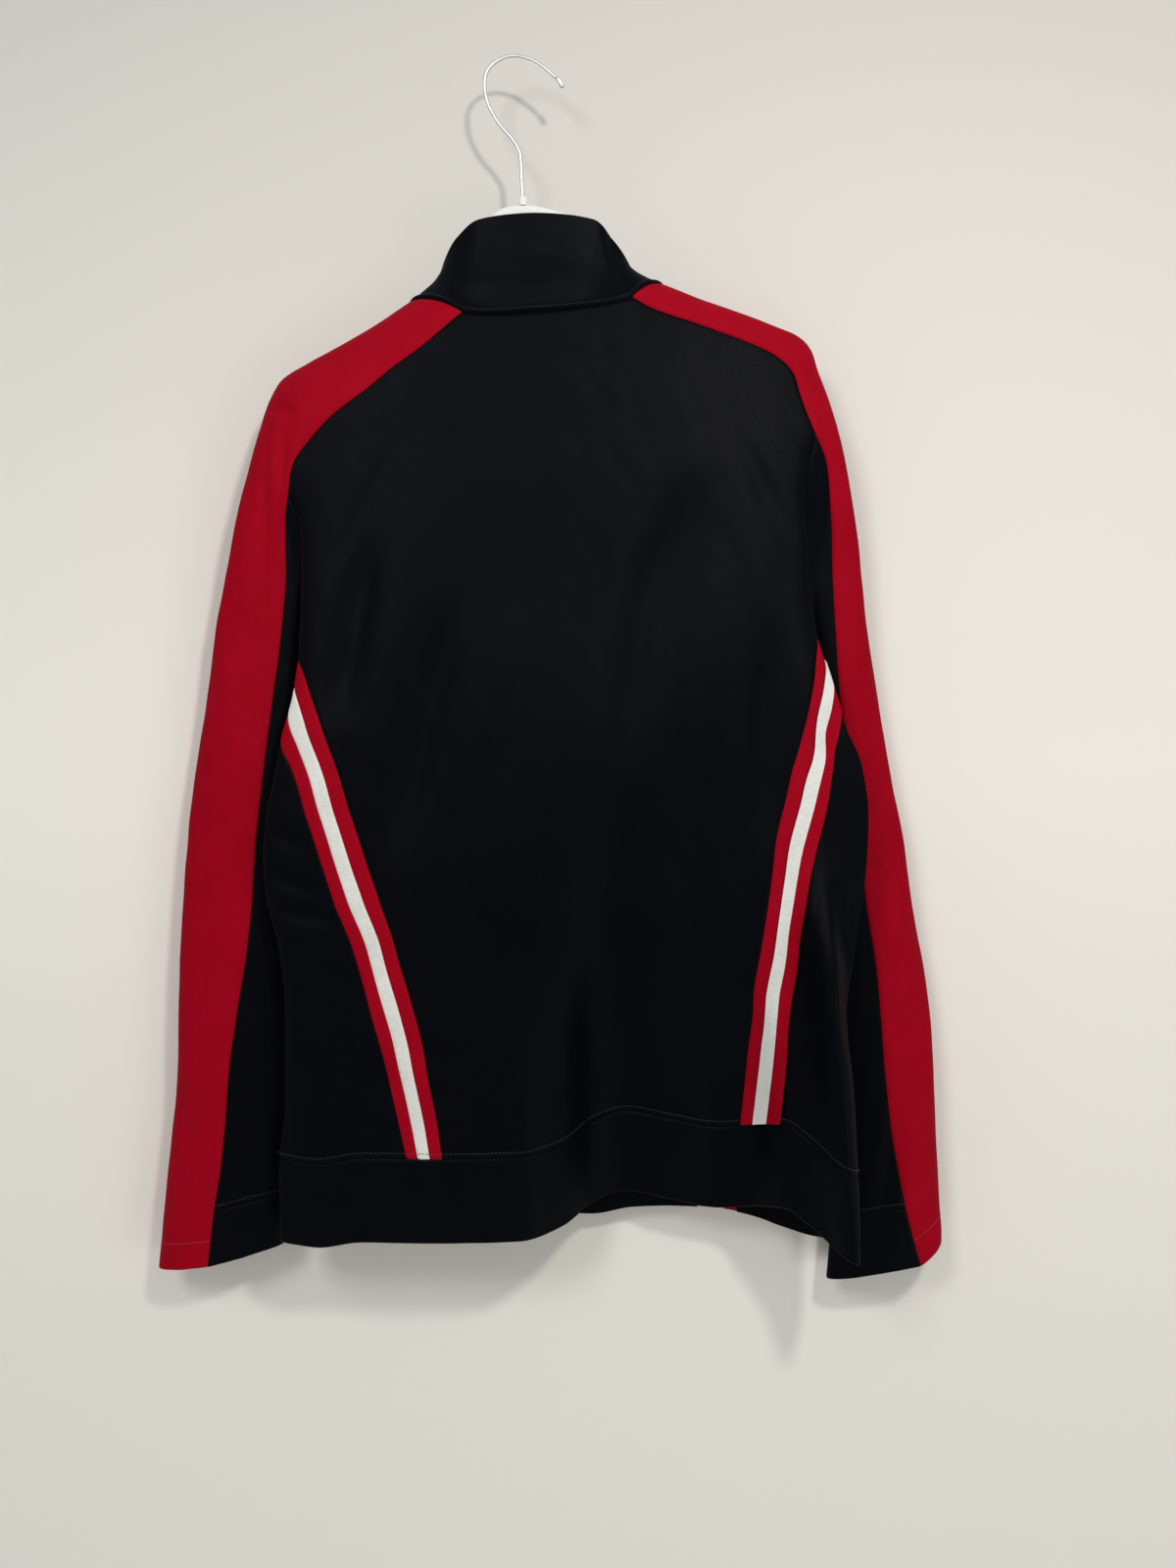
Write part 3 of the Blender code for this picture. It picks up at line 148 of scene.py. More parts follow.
# Side tapes: where the edges lie on the back, as height and x
TAPES = {
    "left": {
        "inner": ((-918, 61), (-867, 69.5), (-826, 77), (-759, 97), (-713, 112), (-666, 127.5),
                  (-619, 142), (-577, 156), (-540, 169), (-515, 178)),
        "outer": ((-918, 90), (-882, 98), (-837, 109), (-792, 122), (-731, 142), (-687, 158),
                  (-649, 170), (-600, 185)),
        "inner_top": -497.0, "outer_top": -560.0, "twist": 31.0,
    },
    "right": {
        "inner": ((-918, -184), (-857, -188.5), (-804, -191.5), (-757, -196.5), (-710, -203),
                  (-669, -208), (-612, -221), (-572, -233), (-540, -240.5), (-518, -243.5)),
        "outer": ((-918, -213), (-832, -218), (-782, -223), (-739, -227), (-698, -234),
                  (-660, -244), (-600, -255.5), (-575, -261)),
        "inner_top": -497.0, "outer_top": -548.0, "twist": 10.0,
    },
}

# Armhole below the shoulder panel: height, angle of its back edge, angle of its front edge
ARMHOLE = np.array([
    (-497, 100, 100), (-484, 99, 108), (-450, 96, 117), (-400, 90, 121), (-370, 82, 120),
], float)

# Shoulder panel from the neck to the armhole: back seam x, z, ridge x, z, front seam x, z
SHOULDERS = {
    "left": np.array([
        (46.9, -227.5, 96.0, -209.5, 72.0, -238.0),
        (76.8, -253.4, 125.5, -228.8, 98.0, -262.0),
        (104.3, -273.6, 153.9, -245.3, 118.0, -280.0),
        (125.3, -290.6, 178.0, -259.0, 135.0, -294.0),
        (152.8, -310.8, 202.0, -273.5, 154.0, -311.0),
        (171.4, -329.4, 213.5, -292.5, 168.0, -329.0),
        (184.4, -345.2, 220.5, -315.0, 177.0, -345.0),
        (190.0, -358.0, 226.5, -336.0, 180.0, -358.0),
        (192.3, -372.4, 232.0, -358.0, 180.0, -372.0),
    ], float),
    "right": np.array([
        (-93.0, -214.2, -123.4, -196.0, -112.0, -225.0),
        (-113.2, -225.5, -150.0, -206.0, -132.0, -236.0),
        (-147.2, -236.8, -180.0, -217.5, -158.0, -249.0),
        (-183.6, -249.4, -210.0, -229.0, -184.0, -260.0),
        (-211.1, -260.7, -233.0, -238.0, -208.0, -272.0),
        (-226.4, -274.4, -245.0, -250.0, -221.0, -286.0),
        (-232.5, -292.2, -251.5, -268.0, -228.0, -300.0),
        (-238.1, -308.4, -259.0, -289.0, -232.0, -313.0),
        (-245.0, -324.6, -266.0, -312.0, -235.0, -327.0),
    ], float),
}

# Sleeve below the armhole's top: seam z, outer z, inner z, seam x, outer x, inner x,
# back seam y, front seam y. The last row is the cuff's lower edge, the one before its seam
SLEEVES = {
    "left": np.array([
        (-400, -392, -404, 196.0, 241.0, 181, 18, -16),
        (-436, -431, -438, 196.0, 249.5, 179, 15, -21),
        (-468, -465, -468, 198.5, 256.0, 178, 13, -25),
        (-512, -510, -512, 203.5, 264.0, 178, 12, -27),
        (-552, -552, -552, 209.0, 270.5, 182, 12, -28),
        (-619, -619, -619, 217.4, 281.0, 193, 12, -29),
        (-667, -667, -667, 222.3, 286.0, 198, 12, -29),
        (-716, -716, -716, 225.6, 289.5, 196, 12, -29),
        (-761, -761, -761, 230.5, 291.3, 189, 12, -29),
        (-805, -805, -805, 238.0, 292.3, 185, 12, -29),
        (-855, -855, -852, 245.0, 294.2, 185, 12, -29),
        (-905, -906, -900, 248.6, 298.0, 190, 12, -28),
        (-938, -941, -930, 251.8, 301.0, 194, 12, -27),
        (-974, -978, -962, 257.5, 304.0, 198, 12, -26),
        (-1021, -1027, -1006, 263.0, 308.5, 202, 11, -24),
    ], float),
    "right": np.array([
        (-345, -338, -352, -255.0, -272.5, -237, 18, -14),
        (-368, -364, -374, -259.2, -278.0, -237, 14, -18),
        (-403, -401, -406, -261.7, -285.0, -238, 10, -22),
        (-438, -437, -440, -262.7, -289.6, -239, 8, -25),
        (-485, -485, -485, -265.5, -296.0, -241, 7, -27),
        (-534, -534, -534, -268.6, -304.0, -243, 6, -29),
        (-610, -610, -610, -278.0, -317.0, -246, 5, -30),
        (-663, -663, -663, -285.5, -326.4, -248, 5, -31),
        (-715, -715, -715, -291.5, -334.5, -249, 5, -31),
        (-776, -775, -778, -300.5, -346.0, -251, 5, -31),
        (-822, -820, -826, -304.5, -351.0, -255, 5, -31),
        (-862, -859, -868, -307.6, -352.3, -259, 6, -31),
        (-901, -896, -910, -311.7, -353.5, -263, 7, -31),
        (-973, -962, -984, -324.0, -356.5, -265, 8, -30),
        (-1021, -1005, -1038, -336.5, -358.0, -261, 8, -28),
    ], float),
}

# Collar's top edge: turn from the centre back (+ is the left), x, y, z
COLLAR_TOP = np.array([
    (-180, -20, -27, -215), (-140, -84, -22, -204), (-112, -100, -10, -188), (-90, -93, 1, -177),
    (-62, -77, 14, -159), (-36, -60.4, 25, -148.8), (0, -14, 29, -145.5), (33, 34, 26, -149.5),
    (60, 52, 15, -158), (90, 66, 2, -176), (110, 71, -8, -188), (140, 54, -21, -203),
    (180, -20, -27, -215),
], float)

# Top of the hanger between the two neck seams: x, z, from the left seam to the right
HANGER_NECK = ((98, -215.5), (84, -208.5), (70, -198), (56, -183), (44, -161), (33, -142),
               (20, -129.5), (6, -125.2), (-9, -125), (-30, -129.5), (-46, -135.5), (-60, -147),
               (-76, -165), (-92, -185), (-108, -195.5), (-126, -202))
# Centre of the hook's wire, from the boss up and over the bend to the open end: x, z
HOOK_PATH = ((-1.0, -118.5), (-0.3, -104), (0.4, -88), (2.0, -78), (8.6, -67.5), (19.2, -55),
             (27.6, -40), (31.0, -26), (30.0, -13), (24.0, -4.4), (14.5, 0.8), (6.0, 2.3),
             (0.0, 1.5), (-9.2, -1.3), (-17.0, -6.0), (-24.0, -11.6), (-29.5, -16.6))
HOOK_TIP_PATH = ((-29.9, -17.0), (-32.6, -20.4), (-35.4, -25.2))


# ---------------------------------------------------------------- curves

def smooth(xs, ys, x):
    """Monotone cubic through the points, whose slope is the harmonic mean of its neighbours'."""
    xs, ys = np.asarray(xs, float), np.asarray(ys, float)
    step = np.diff(xs)
    slope = np.diff(ys) / step
    tangent = np.zeros_like(ys)
    tangent[0], tangent[-1] = slope[0], slope[-1]
    product, total = slope[:-1] * slope[1:], slope[:-1] + slope[1:]
    rising = product > 0
    tangent[1:-1][rising] = 2 * product[rising] / total[rising]
    x = np.clip(np.asarray(x, float), xs[0], xs[-1])
    i = np.clip(np.searchsorted(xs, x) - 1, 0, len(step) - 1)
    t = (x - xs[i]) / step[i]
    a = ys[i] * (1 + 2 * t) * (1 - t) ** 2 + tangent[i] * step[i] * t * (1 - t) ** 2
    b = ys[i + 1] * t ** 2 * (3 - 2 * t) - tangent[i + 1] * step[i] * t ** 2 * (1 - t)
    return a + b


def through(points, shares):
    """Points at shares from 0 to 1 of the index, on a Catmull-Rom curve through the points."""
    p = np.asarray(points, float)
    p = np.vstack([2 * p[0] - p[1], p, 2 * p[-1] - p[-2]])
    u = np.asarray(shares, float) * (len(p) - 3)
    i = np.minimum(u.astype(int), len(p) - 4)
    t = (u - i)[:, None]
    p0, p1, p2, p3 = p[i], p[i + 1], p[i + 2], p[i + 3]
    return 0.5 * (2 * p1 + (p2 - p0) * t + (2 * p0 - 5 * p1 + 4 * p2 - p3) * t ** 2
                  + (3 * p1 - p0 - 3 * p2 + p3) * t ** 3)


def ease(x, low, high):
    """0 below low, 1 above high, and a smooth step between."""
    t = np.clip((x - low) / (high - low), 0, 1)
    return t * t * (3 - 2 * t)


def unit(v):
    """Vectors of length 1."""
    return v / np.maximum(np.linalg.norm(v, axis=-1, keepdims=True), 1e-9)


def along(line):
    """Distance from the first point to each point of a line."""
    steps = np.linalg.norm(np.diff(line, axis=0), axis=1)
    return np.append(0.0, np.cumsum(steps))


def at_lengths(line, lengths):
    """Points of a line at the given distances from its first point."""
    s = along(line)
    return np.stack([np.interp(lengths, s, line[:, k]) for k in range(line.shape[1])], axis=-1)


def spaced(length, cell=CELL, first=True, last=True):
    """Shares from 0 to 1 about one cell apart, with closer ones beside each sewn end."""
    shares = np.linspace(0, 1, max(int(round(length / cell)), 2) + 1)
    near = np.array(SEAM_STEPS) / length
    keep = np.ones(len(shares), bool)
    extra = []
    if first:
        keep &= (shares > near[-1]) | (shares == 0)
        extra.append(near)
    if last:
        keep &= (shares < 1 - near[-1]) | (shares == 1)
        extra.append(1 - near)
    return np.sort(np.concatenate([shares[keep], *extra]))


# ---------------------------------------------------------------- body surface

def ring(height):
    """The ring's seven sizes at each height."""
    return [smooth(RINGS[:, 0], RINGS[:, k], height) for k in range(1, 8)]


def fold_height(x, z, folds):
    """Sum of the folds: a bell across each fold's path, faded at its two ends."""
    total = np.zeros_like(x)
    for x1, z1, x2, z2, x3, z3, half_width, out, low_share in folds:
        path = smooth((z3, z2, z1), (x3, x2, x1), z)
        top = 1 - ease(z, z1 - FOLD_FADE * (z1 - z3), z1)
        low = low_share + (1 - low_share) * ease(z, z3, z3 + FOLD_FADE * (z1 - z3))
        total += out * top * low * np.exp(-((x - path) / half_width) ** 2)
    return total


def body(angle, height):
    """Point of the body at an angle from the centre back (+ is the left side) and a height.

    x is the ring's middle plus its half width times the sine. y runs from the side's value
    to the back's or the front's with a power of the cosine, which flattens the sheet.
    """
    angle, height = np.broadcast_arrays(np.asarray(angle, float), np.asarray(height, float))
    left, right, tilt, y_left, y_right, y_back, y_front = ring(height)
    share, facing = np.sin(np.radians(angle)), np.cos(np.radians(angle))
    x = (left + right) / 2 + (left - right) / 2 * share
    side = np.where(share >= 0, y_left, y_right)
    sheet = np.where(facing >= 0, y_back, y_front)
    power = np.where(facing >= 0, BACK_ROUNDNESS, FRONT_ROUNDNESS)
    y = side + (sheet - side) * np.abs(facing) ** power
    back = ease(facing, *BACK_REACH)
    hem = 1 - ease(height, HEM_SEAM, HEM_SEAM + HEM_FADE)
    wave = [back * smooth(BACK_HEM[:, 0], BACK_HEM[:, k], share)
            + (1 - back) * smooth(FRONT_HEM[:, 0], FRONT_HEM[:, k], share) for k in (1, 2)]
    z = height - tilt * x
    y = y + hem * wave[0] + back * fold_height(x, z, FOLDS)
    return np.stack([x, y, z + hem * wave[1]], axis=-1)


def body_place(x, z, front=False):
    """Angle and height of the body's point at x and z, on its back or its front.

    The height is z plus the ring's tilt times x, worked out again from its own tilt.
    """
    height = np.asarray(z, float)
    for _ in range(PLACE_ROUNDS):
        height = np.asarray(z) + ring(height)[2] * np.asarray(x)
    left, right = ring(height)[:2]
    share = np.clip((np.asarray(x) - (left + right) / 2) / ((left - right) / 2), -1, 1)
    angle = np.degrees(np.arcsin(share))
    if front:
        angle = np.where(angle >= 0, 180 - angle, -180 - angle)
    return np.stack([angle, height], axis=-1)


# ---------------------------------------------------------------- seams on the body

# Rows along each seam, spaced for its length in millimetres
TAPE_SHARES = spaced(421, last=False)
ARMHOLE_SHARES = spaced(140, last=False)
SHOULDER_SHARES = spaced(230, first=False)
TAPE_ROWS, ARMHOLE_ROWS = len(TAPE_SHARES) - 1, len(ARMHOLE_SHARES) - 1
HEM_SHARES = spaced(68)


def tape_edges(side, front):
    """The four edges of a side tape, inner to outer: angle and height for each row."""
    tape, sign = TAPES[side], SIGN[side]
    t = TAPE_SHARES
    edges = []
    for name in ("inner", "outer"):
        top = tape[name + "_top"]
        rows = np.array(tape[name], float)
        height = HEM_SEAM + (top - HEM_SEAM) * t
        left, right = ring(rows[:, 0])[:2]
        share = (rows[:, 1] - (left + right) / 2) / ((left - right) / 2)
        turn = np.degrees(np.arcsin(np.clip(np.abs(share), 0, 1)))
        turn = smooth(np.append(rows[:, 0], top), np.append(turn, SIDE_LINE), height)
        edges.append(np.stack([turn, height], axis=-1))
    inner, outer = edges
    strips = len(TAPE_STRIPS)
    edges = [inner + (outer - inner) * k / strips for k in range(strips + 1)]
    for edge in edges:
        if front:
            edge[:, 0] = 2 * SIDE_LINE - edge[:, 0] - tape["twist"] * (1 - t)
        edge[:, 0] *= sign
    return edges


def armhole_edge(side, front):
    """Angle and height of the armhole's back or front edge, from the top to the underarm."""
    top = SHOULDERS[side][-1]
    start = body_place(top[4], top[5], True) if front else body_place(top[0], top[1])
    heights = start[1] + (UNDERARM - start[1]) * ARMHOLE_SHARES
    column = 2 if front else 1
    table = np.append(ARMHOLE[:, column], abs(start[0]))
    turn = smooth(np.append(ARMHOLE[:, 0], start[1]), table, heights)
    return np.stack([turn * SIGN[side], heights], axis=-1)


def shoulder_seam(side, front):
    """Angle and height of the shoulder panel's back or front seam, from the armhole up."""
    rows = through(SHOULDERS[side][::-1], SHOULDER_SHARES)
    columns = (4, 5) if front else (0, 1)
    return body_place(rows[:, columns[0]], rows[:, columns[1]], front)


def panel_edge(side, front):
    """The edge of the back or a front, from the hem band's seam up to the neck."""
    parts = [tape_edges(side, front)[0], armhole_edge(side, front)[::-1][1:],
             shoulder_seam(side, front)[1:]]
    return np.vstack(parts)


def zip_edge(side, rows):
    """The edge of a front beside the zip, with as many rows as the front has."""
    below = HEM_SEAM + (UNDERARM - HEM_SEAM) * TAPE_SHARES
    above = UNDERARM + (FRONT_NECK - UNDERARM) * np.linspace(0, 1, rows - TAPE_ROWS)
    height = np.append(below, above[1:])
    share = (height - HEM) / (FRONT_NECK - HEM)
    x = ZIP_X_HEM + (ZIP_X_NECK - ZIP_X_HEM) * share + SIGN[side] * ZIP_OPENING / 2
    left, right = ring(height)[:2]
    turn = np.degrees(np.arcsin((x - (left + right) / 2) / ((left - right) / 2)))
    return np.stack([SIGN[side] * 180 - turn, height], axis=-1)


def between(left, right, width, bow=0.0, bow_reach=1.0):
    """Angles and heights between two edges, the upper rows bowed down between them."""
    u = spaced(width)[None, :, None]
    places = left[:, None, :] * (1 - u) + right[:, None, :] * u
    top = places[-1, :, 1]
    share = ease(places[..., 1], top - bow_reach, top)
    places[..., 1] += bow * share * (4 * u[..., 0] * (1 - u[..., 0])) ** BOW_ROUNDNESS
    return places


# ---------------------------------------------------------------- cloth grids

# A drift's count of sines, the spread of their speeds, and the gain on their mean
SINES, SINE_SPEEDS, SINE_GAIN = 14, (0.6, 1.6), 2.2


def drift(points, wave, seed, stretch):
    """Soft uneven rise between about -1 and 1: the mean of sines that run in many directions.

    Each sine's phase is the dot product of the point with a random direction, over the wave.
    """
    rng = np.random.default_rng(seed)
    ways = unit(rng.normal(size=(SINES, 3))) * np.array(stretch) * 2 * math.pi / wave
    ways *= rng.uniform(*SINE_SPEEDS, size=(SINES, 1))
    phase = rng.uniform(0, 2 * math.pi, size=SINES)
    return np.sin(points @ ways.T + phase).mean(axis=-1) * SINE_GAIN


def dents(points, places):
    """Sum of short creases: a bell across each crease's line times a wider bell along it."""
    total = np.zeros(points.shape[:-1])
    for x, z, turn, length, width, depth in places:
        dx, dz = points[..., 0] - x, points[..., 2] - z
        c, s = math.cos(math.radians(turn)), math.sin(math.radians(turn))
        lengthwise, across = dx * c + dz * s, dz * c - dx * s
        total += depth * np.exp(-(lengthwise / length) ** 2 - (across / width) ** 2)
    return total


def grid_normals(points, outward):
    """Unit normals of a grid, turned to the side that outward points to."""
    normals = unit(np.cross(np.gradient(points, axis=0), np.gradient(points, axis=1)))
    return -normals if np.sum(normals * outward) < 0 else normals


def edge_distances(points):
    """Distance along the cloth from each point to the grid's four borders."""
    down = np.cumsum(np.linalg.norm(np.diff(points, axis=0), axis=-1), axis=0)
    down = np.vstack([np.zeros((1, points.shape[1])), down])
    over = np.cumsum(np.linalg.norm(np.diff(points, axis=1), axis=-1), axis=1)
    over = np.hstack([np.zeros((points.shape[0], 1)), over])
    return {"start": down, "end": down[-1:] - down, "left": over, "right": over[:, -1:] - over}


def relief(points, seams):
    """Rise of the cloth beside its seams: each seam dips, and its turned-in layers stand up.

    The dip is a narrow bell on the seam. The layers add their height up to their width and
    fade over two millimetres round it.
    """
    near = edge_distances(points)
    rise = np.zeros(points.shape[:2])
    for edge, (dip, layer, width) in seams.items():
        rise += layer * (1 - ease(near[edge] - width, *LAYER_FADE))
        rise -= (dip + layer) * np.exp(-(near[edge] / SEAM_REACH) ** 2)
    return rise


def closed_grid(outer, inner, bulge):
    """Vertices, faces and sheet coordinates of a cloth wall with a rounded edge all round.

    The rim has two rings between the layers. They stand out by the bulge times the sine of
    their share, square to the border, so a free edge is round and a sewn one is flat.
    """
    rows, columns = outer.shape[:2]
    index = np.arange(rows * columns).reshape(rows, columns)
    r, c = np.meshgrid(np.arange(rows - 1), np.arange(columns - 1), indexing="ij")
    a, b, d, e = index[r, c], index[r, c + 1], index[r + 1, c], index[r + 1, c + 1]
    front = np.stack([a, b, e, d], -1).reshape(-1, 4)
    count = rows * columns
    loop = np.concatenate([index[0, :-1], index[:-1, -1], index[-1, :0:-1], index[:0:-1, 0]])
    flat_outer, flat_inner = outer.reshape(-1, 3), inner.reshape(-1, 3)
    pushed = np.zeros_like(outer)
    pushed[0] += unit(outer[0] - outer[1]) * bulge["start"]
    pushed[-1] += unit(outer[-1] - outer[-2]) * bulge["end"]
    pushed[:, 0] += unit(outer[:, 0] - outer[:, 1]) * bulge["left"]
    pushed[:, -1] += unit(outer[:, -1] - outer[:, -2]) * bulge["right"]
    pushed = pushed.reshape(-1, 3)[loop]
    rim = [flat_outer[loop] * (1 - s) + flat_inner[loop] * s + pushed * math.sin(math.pi * s)
           for s in RIM_SHARES]
    points = np.concatenate([flat_outer, flat_inner, *rim])
    n = len(loop)
    rings = [loop, 2 * count + np.arange(n), 2 * count + n + np.arange(n), loop + count]
    sides = [np.stack([first, second, np.roll(second, -1), np.roll(first, -1)], -1)
             for first, second in zip(rings, rings[1:])]
    faces = np.concatenate([front, front[:, ::-1] + count, *sides])
    return points, faces, np.concatenate([np.arange(count), np.arange(count), loop, loop])


def add_mesh(name, points, faces, uv=None, smooth_angle=None):
    """A mesh object in metres at the origin, from millimetre points and equal-sided faces."""
    mesh = bpy.data.meshes.new(name)
    faces = np.asarray(faces)
    mesh.vertices.add(len(points))
    mesh.vertices.foreach_set("co", (np.asarray(points) * MM).ravel())
    mesh.loops.add(faces.size)
    mesh.loops.foreach_set("vertex_index", faces.ravel())
    mesh.polygons.add(len(faces))
    mesh.polygons.foreach_set("loop_start", np.arange(len(faces)) * faces.shape[1])
    mesh.update(calc_edges=True)
    if uv is not None:
        layer = mesh.uv_layers.new(name="cloth")
        layer.data.foreach_set("uv", (uv[faces.ravel()] * MM).ravel())
    mesh.shade_smooth()
    if smooth_angle is not None:
        mesh.set_sharp_from_angle(angle=math.radians(smooth_angle))
    made = bpy.data.objects.new(name, mesh)
    bpy.context.scene.collection.objects.link(made)
    return made


def finish_piece(made, finish, body=JACKET, nodes=()):
    """Gives a piece its material and the body it rides, and hides its CAD nodes."""
    made.data.materials.clear()
    made.data.materials.append(finish)
    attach(made, body)
    if nodes:
        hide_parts(*nodes)


class Cloth:
    """A cloth piece as a grid: its outer surface after its creases, and its normals."""

    def __init__(self, points, outward, creases=None):
        normals = grid_normals(points, outward)
        rise = 0.0 if creases is None else creases(points, normals)
        self.points = points + normals * np.asarray(rise)[..., None]
        self.normals = grid_normals(self.points, outward)

    def part(self, rows):
        """The same cloth cut to a range of its rows."""
        piece = object.__new__(Cloth)
        piece.points, piece.normals = self.points[rows], self.normals[rows]
        return piece


SEWN = {"start": 0.0, "end": 0.0, "left": 0.0, "right": 0.0}


def build_cloth(name, cloth, finish, seams, wall=PANEL_WALL, free=(), lift=0.0):
    points, normals = cloth.points, cloth.normals
    rise = relief(points, seams) + lift
    outer = points + normals * rise[..., None]
    inner = points - normals * wall
    bulge = dict(SEWN, **{edge: wall * EDGE_BULGE for edge in free})
    solid, faces, source = closed_grid(outer, inner, bulge)
    near = edge_distances(points)
    middle = near["left"].max(axis=1, keepdims=True) / 2
    sheet_uv = np.stack([near["left"] - middle, near["start"]], -1).reshape(-1, 2)
    if signed_volume(solid, faces) < 0:
        faces = faces[:, ::-1]
    made = add_mesh(name + "_cloth", solid, faces, uv=sheet_uv[source])
    finish_piece(made, finish, nodes=(name,))


def signed_volume(points, faces):
    """Volume inside quad faces: each face's two triangles give a sixth of a triple product."""
    a, b, c, d = (points[faces[:, k]] for k in range(4))
    return (np.sum(a * np.cross(b, c)) + np.sum(a * np.cross(c, d))) / 6


# ---------------------------------------------------------------- creases

# Short creases on the body's back: x, z, turn, length, width, depth out of the cloth
BACK_DENTS = (
    (187, -697, 20, 26, 7, -2.2), (181, -721, 12, 30, 8, -2.6), (160, -766, 35, 24, 8, -1.8),
    (190, -660, 30, 22, 7, -1.6), (58, -890, -20, 46, 14, -2.0), (-20, -262, 3, 90, 9, -0.9),
    (130, -395, -62, 60, 10, -2.2), (-205, -380, 62, 55, 10, -2.0), (150, -430, -70, 70, 14, 1.4),
    (-195, -440, 75, 80, 13, 1.2), (-160, -880, 88, 60, 9, -1.6), (-30, -930, 60, 70, 20, 1.2),
    (-77, -590, -62, 160, 55, 8.5), (120, -520, -75, 150, 45, 2.5), (78, -850, 29, 40, 12, 2.2),
    (-120, -790, 82, 110, 24, 1.7), (100, -800, -72, 90, 12, -1.8), (-235, -560, 84, 90, 9, 1.3),
)
# Short creases on the sleeves, in the same way
SLEEVE_DENTS = (
    (250, -520, 82, 110, 10, 1.6), (270, -700, 88, 120, 11, -1.5), (282, -860, 86, 90, 9, 1.6),
    (276, -930, 78, 70, 9, -1.8), (230, -960, 80, 60, 12, -2.4), (236, -880, 84, 80, 9, -2.0),
    (-262, -380, -80, 80, 8, -2.0), (-284, -470, -84, 100, 9, 1.6), (-300, -560, -86, 90, 9, -1.4),
    (-320, -700, -84, 120, 11, 1.5), (-338, -820, -86, 90, 9, -1.6), (-334, -930, -84, 80, 9, 1.6),
    (-310, -950, -80, 70, 9, -2.0), (-346, -1010, -60, 26, 6, 1.4), (290, -1015, 70, 26, 6, 1.4),
)
# Creases below the left shoulder, which both the shoulder and the sleeve take
SHOULDER_DENTS = (
    (213, -385, 92, 80, 4.5, -2.8), (205, -365, 91, 60, 8, 1.6), (197, -348, 93, 34, 5, -2.4),
    (200, -303, 15, 12, 5, -3.2),
)
# Soft creases of the collar, in the same way
COLLAR_DENTS = (
    (-79, -172, 78, 20, 5, -1.6), (-71, -172, 78, 22, 6, 1.4), (-30, -178, 8, 52, 12, -1.6),
    (44, -186, 66, 30, 9, 1.6), (20, -205, 4, 60, 9, 1.2), (60, -205, 50, 26, 8, -1.5),
)
# Soft unevenness: height, wave, seed and stretch of each layer
BODY_DRIFTS = ((0.6, 95, 3, (1, 1, 0.5)), (0.22, 24, 5, (1, 1, 0.6)))
SLEEVE_DRIFTS = ((0.8, 80, 7, (1, 1, 0.4)), (0.25, 22, 9, (1, 1, 0.5)))
COLLAR_DRIFTS = ((0.6, 55, 11, (1, 1, 1)),)
# How far a normal faces back where the creases start and where they are full
BACK_FACING, SLEEVE_FACING = (0.1, 0.6), (0.0, 0.5)


def drifts(points, layers):
    """Sum of drifts, each given by its height, wave, seed and stretch."""
    return sum(height * drift(points, wave, seed, stretch)
               for height, wave, seed, stretch in layers)


def body_creases(points, normals):
    """Rise of the body: two soft drifts, and the back's creases where the cloth faces back."""
    back = ease(normals[..., 1], *BACK_FACING)
    return drifts(points, BODY_DRIFTS) + back * dents(points, BACK_DENTS + SHOULDER_DENTS)


def sleeve_creases(points, normals):
    """Rise of the sleeves: two soft drifts that run down the arm, and the sleeves' creases."""
    back = ease(normals[..., 1], *SLEEVE_FACING)
    return drifts(points, SLEEVE_DRIFTS) + back * dents(points, SLEEVE_DENTS + SHOULDER_DENTS)


def collar_creases(points, normals):
    """Rise of the collar: a soft drift and the collar's creases where it faces back."""
    back = ease(normals[..., 1], *SLEEVE_FACING)
    return drifts(points, COLLAR_DRIFTS) + back * dents(points, COLLAR_DENTS)


# ---------------------------------------------------------------- sleeves

# The sleeve's inner line starts this far above its first row, and its outer line leaves the
# shoulder's plane over a few rows. Share of the armhole's width that the front seam keeps as
# it leaves the armhole, and the length of a row there
INNER_START, OUTER_TURN_ROWS = 30.0, 3
FRONT_SEAM_SHARES = (1.0, 0.6, 0.25, 0.0)
SEAM_SHARE_STEP = 37.0
ARMHOLE_REACH, ARMHOLE_FADE = 45.0, 1.5
SLEEVE_SHARES, CUFF_SHARES, GIRTH_SHARES = spaced(650), spaced(50), spaced(95)
SLEEVE_ROWS = len(SLEEVE_SHARES) - 1


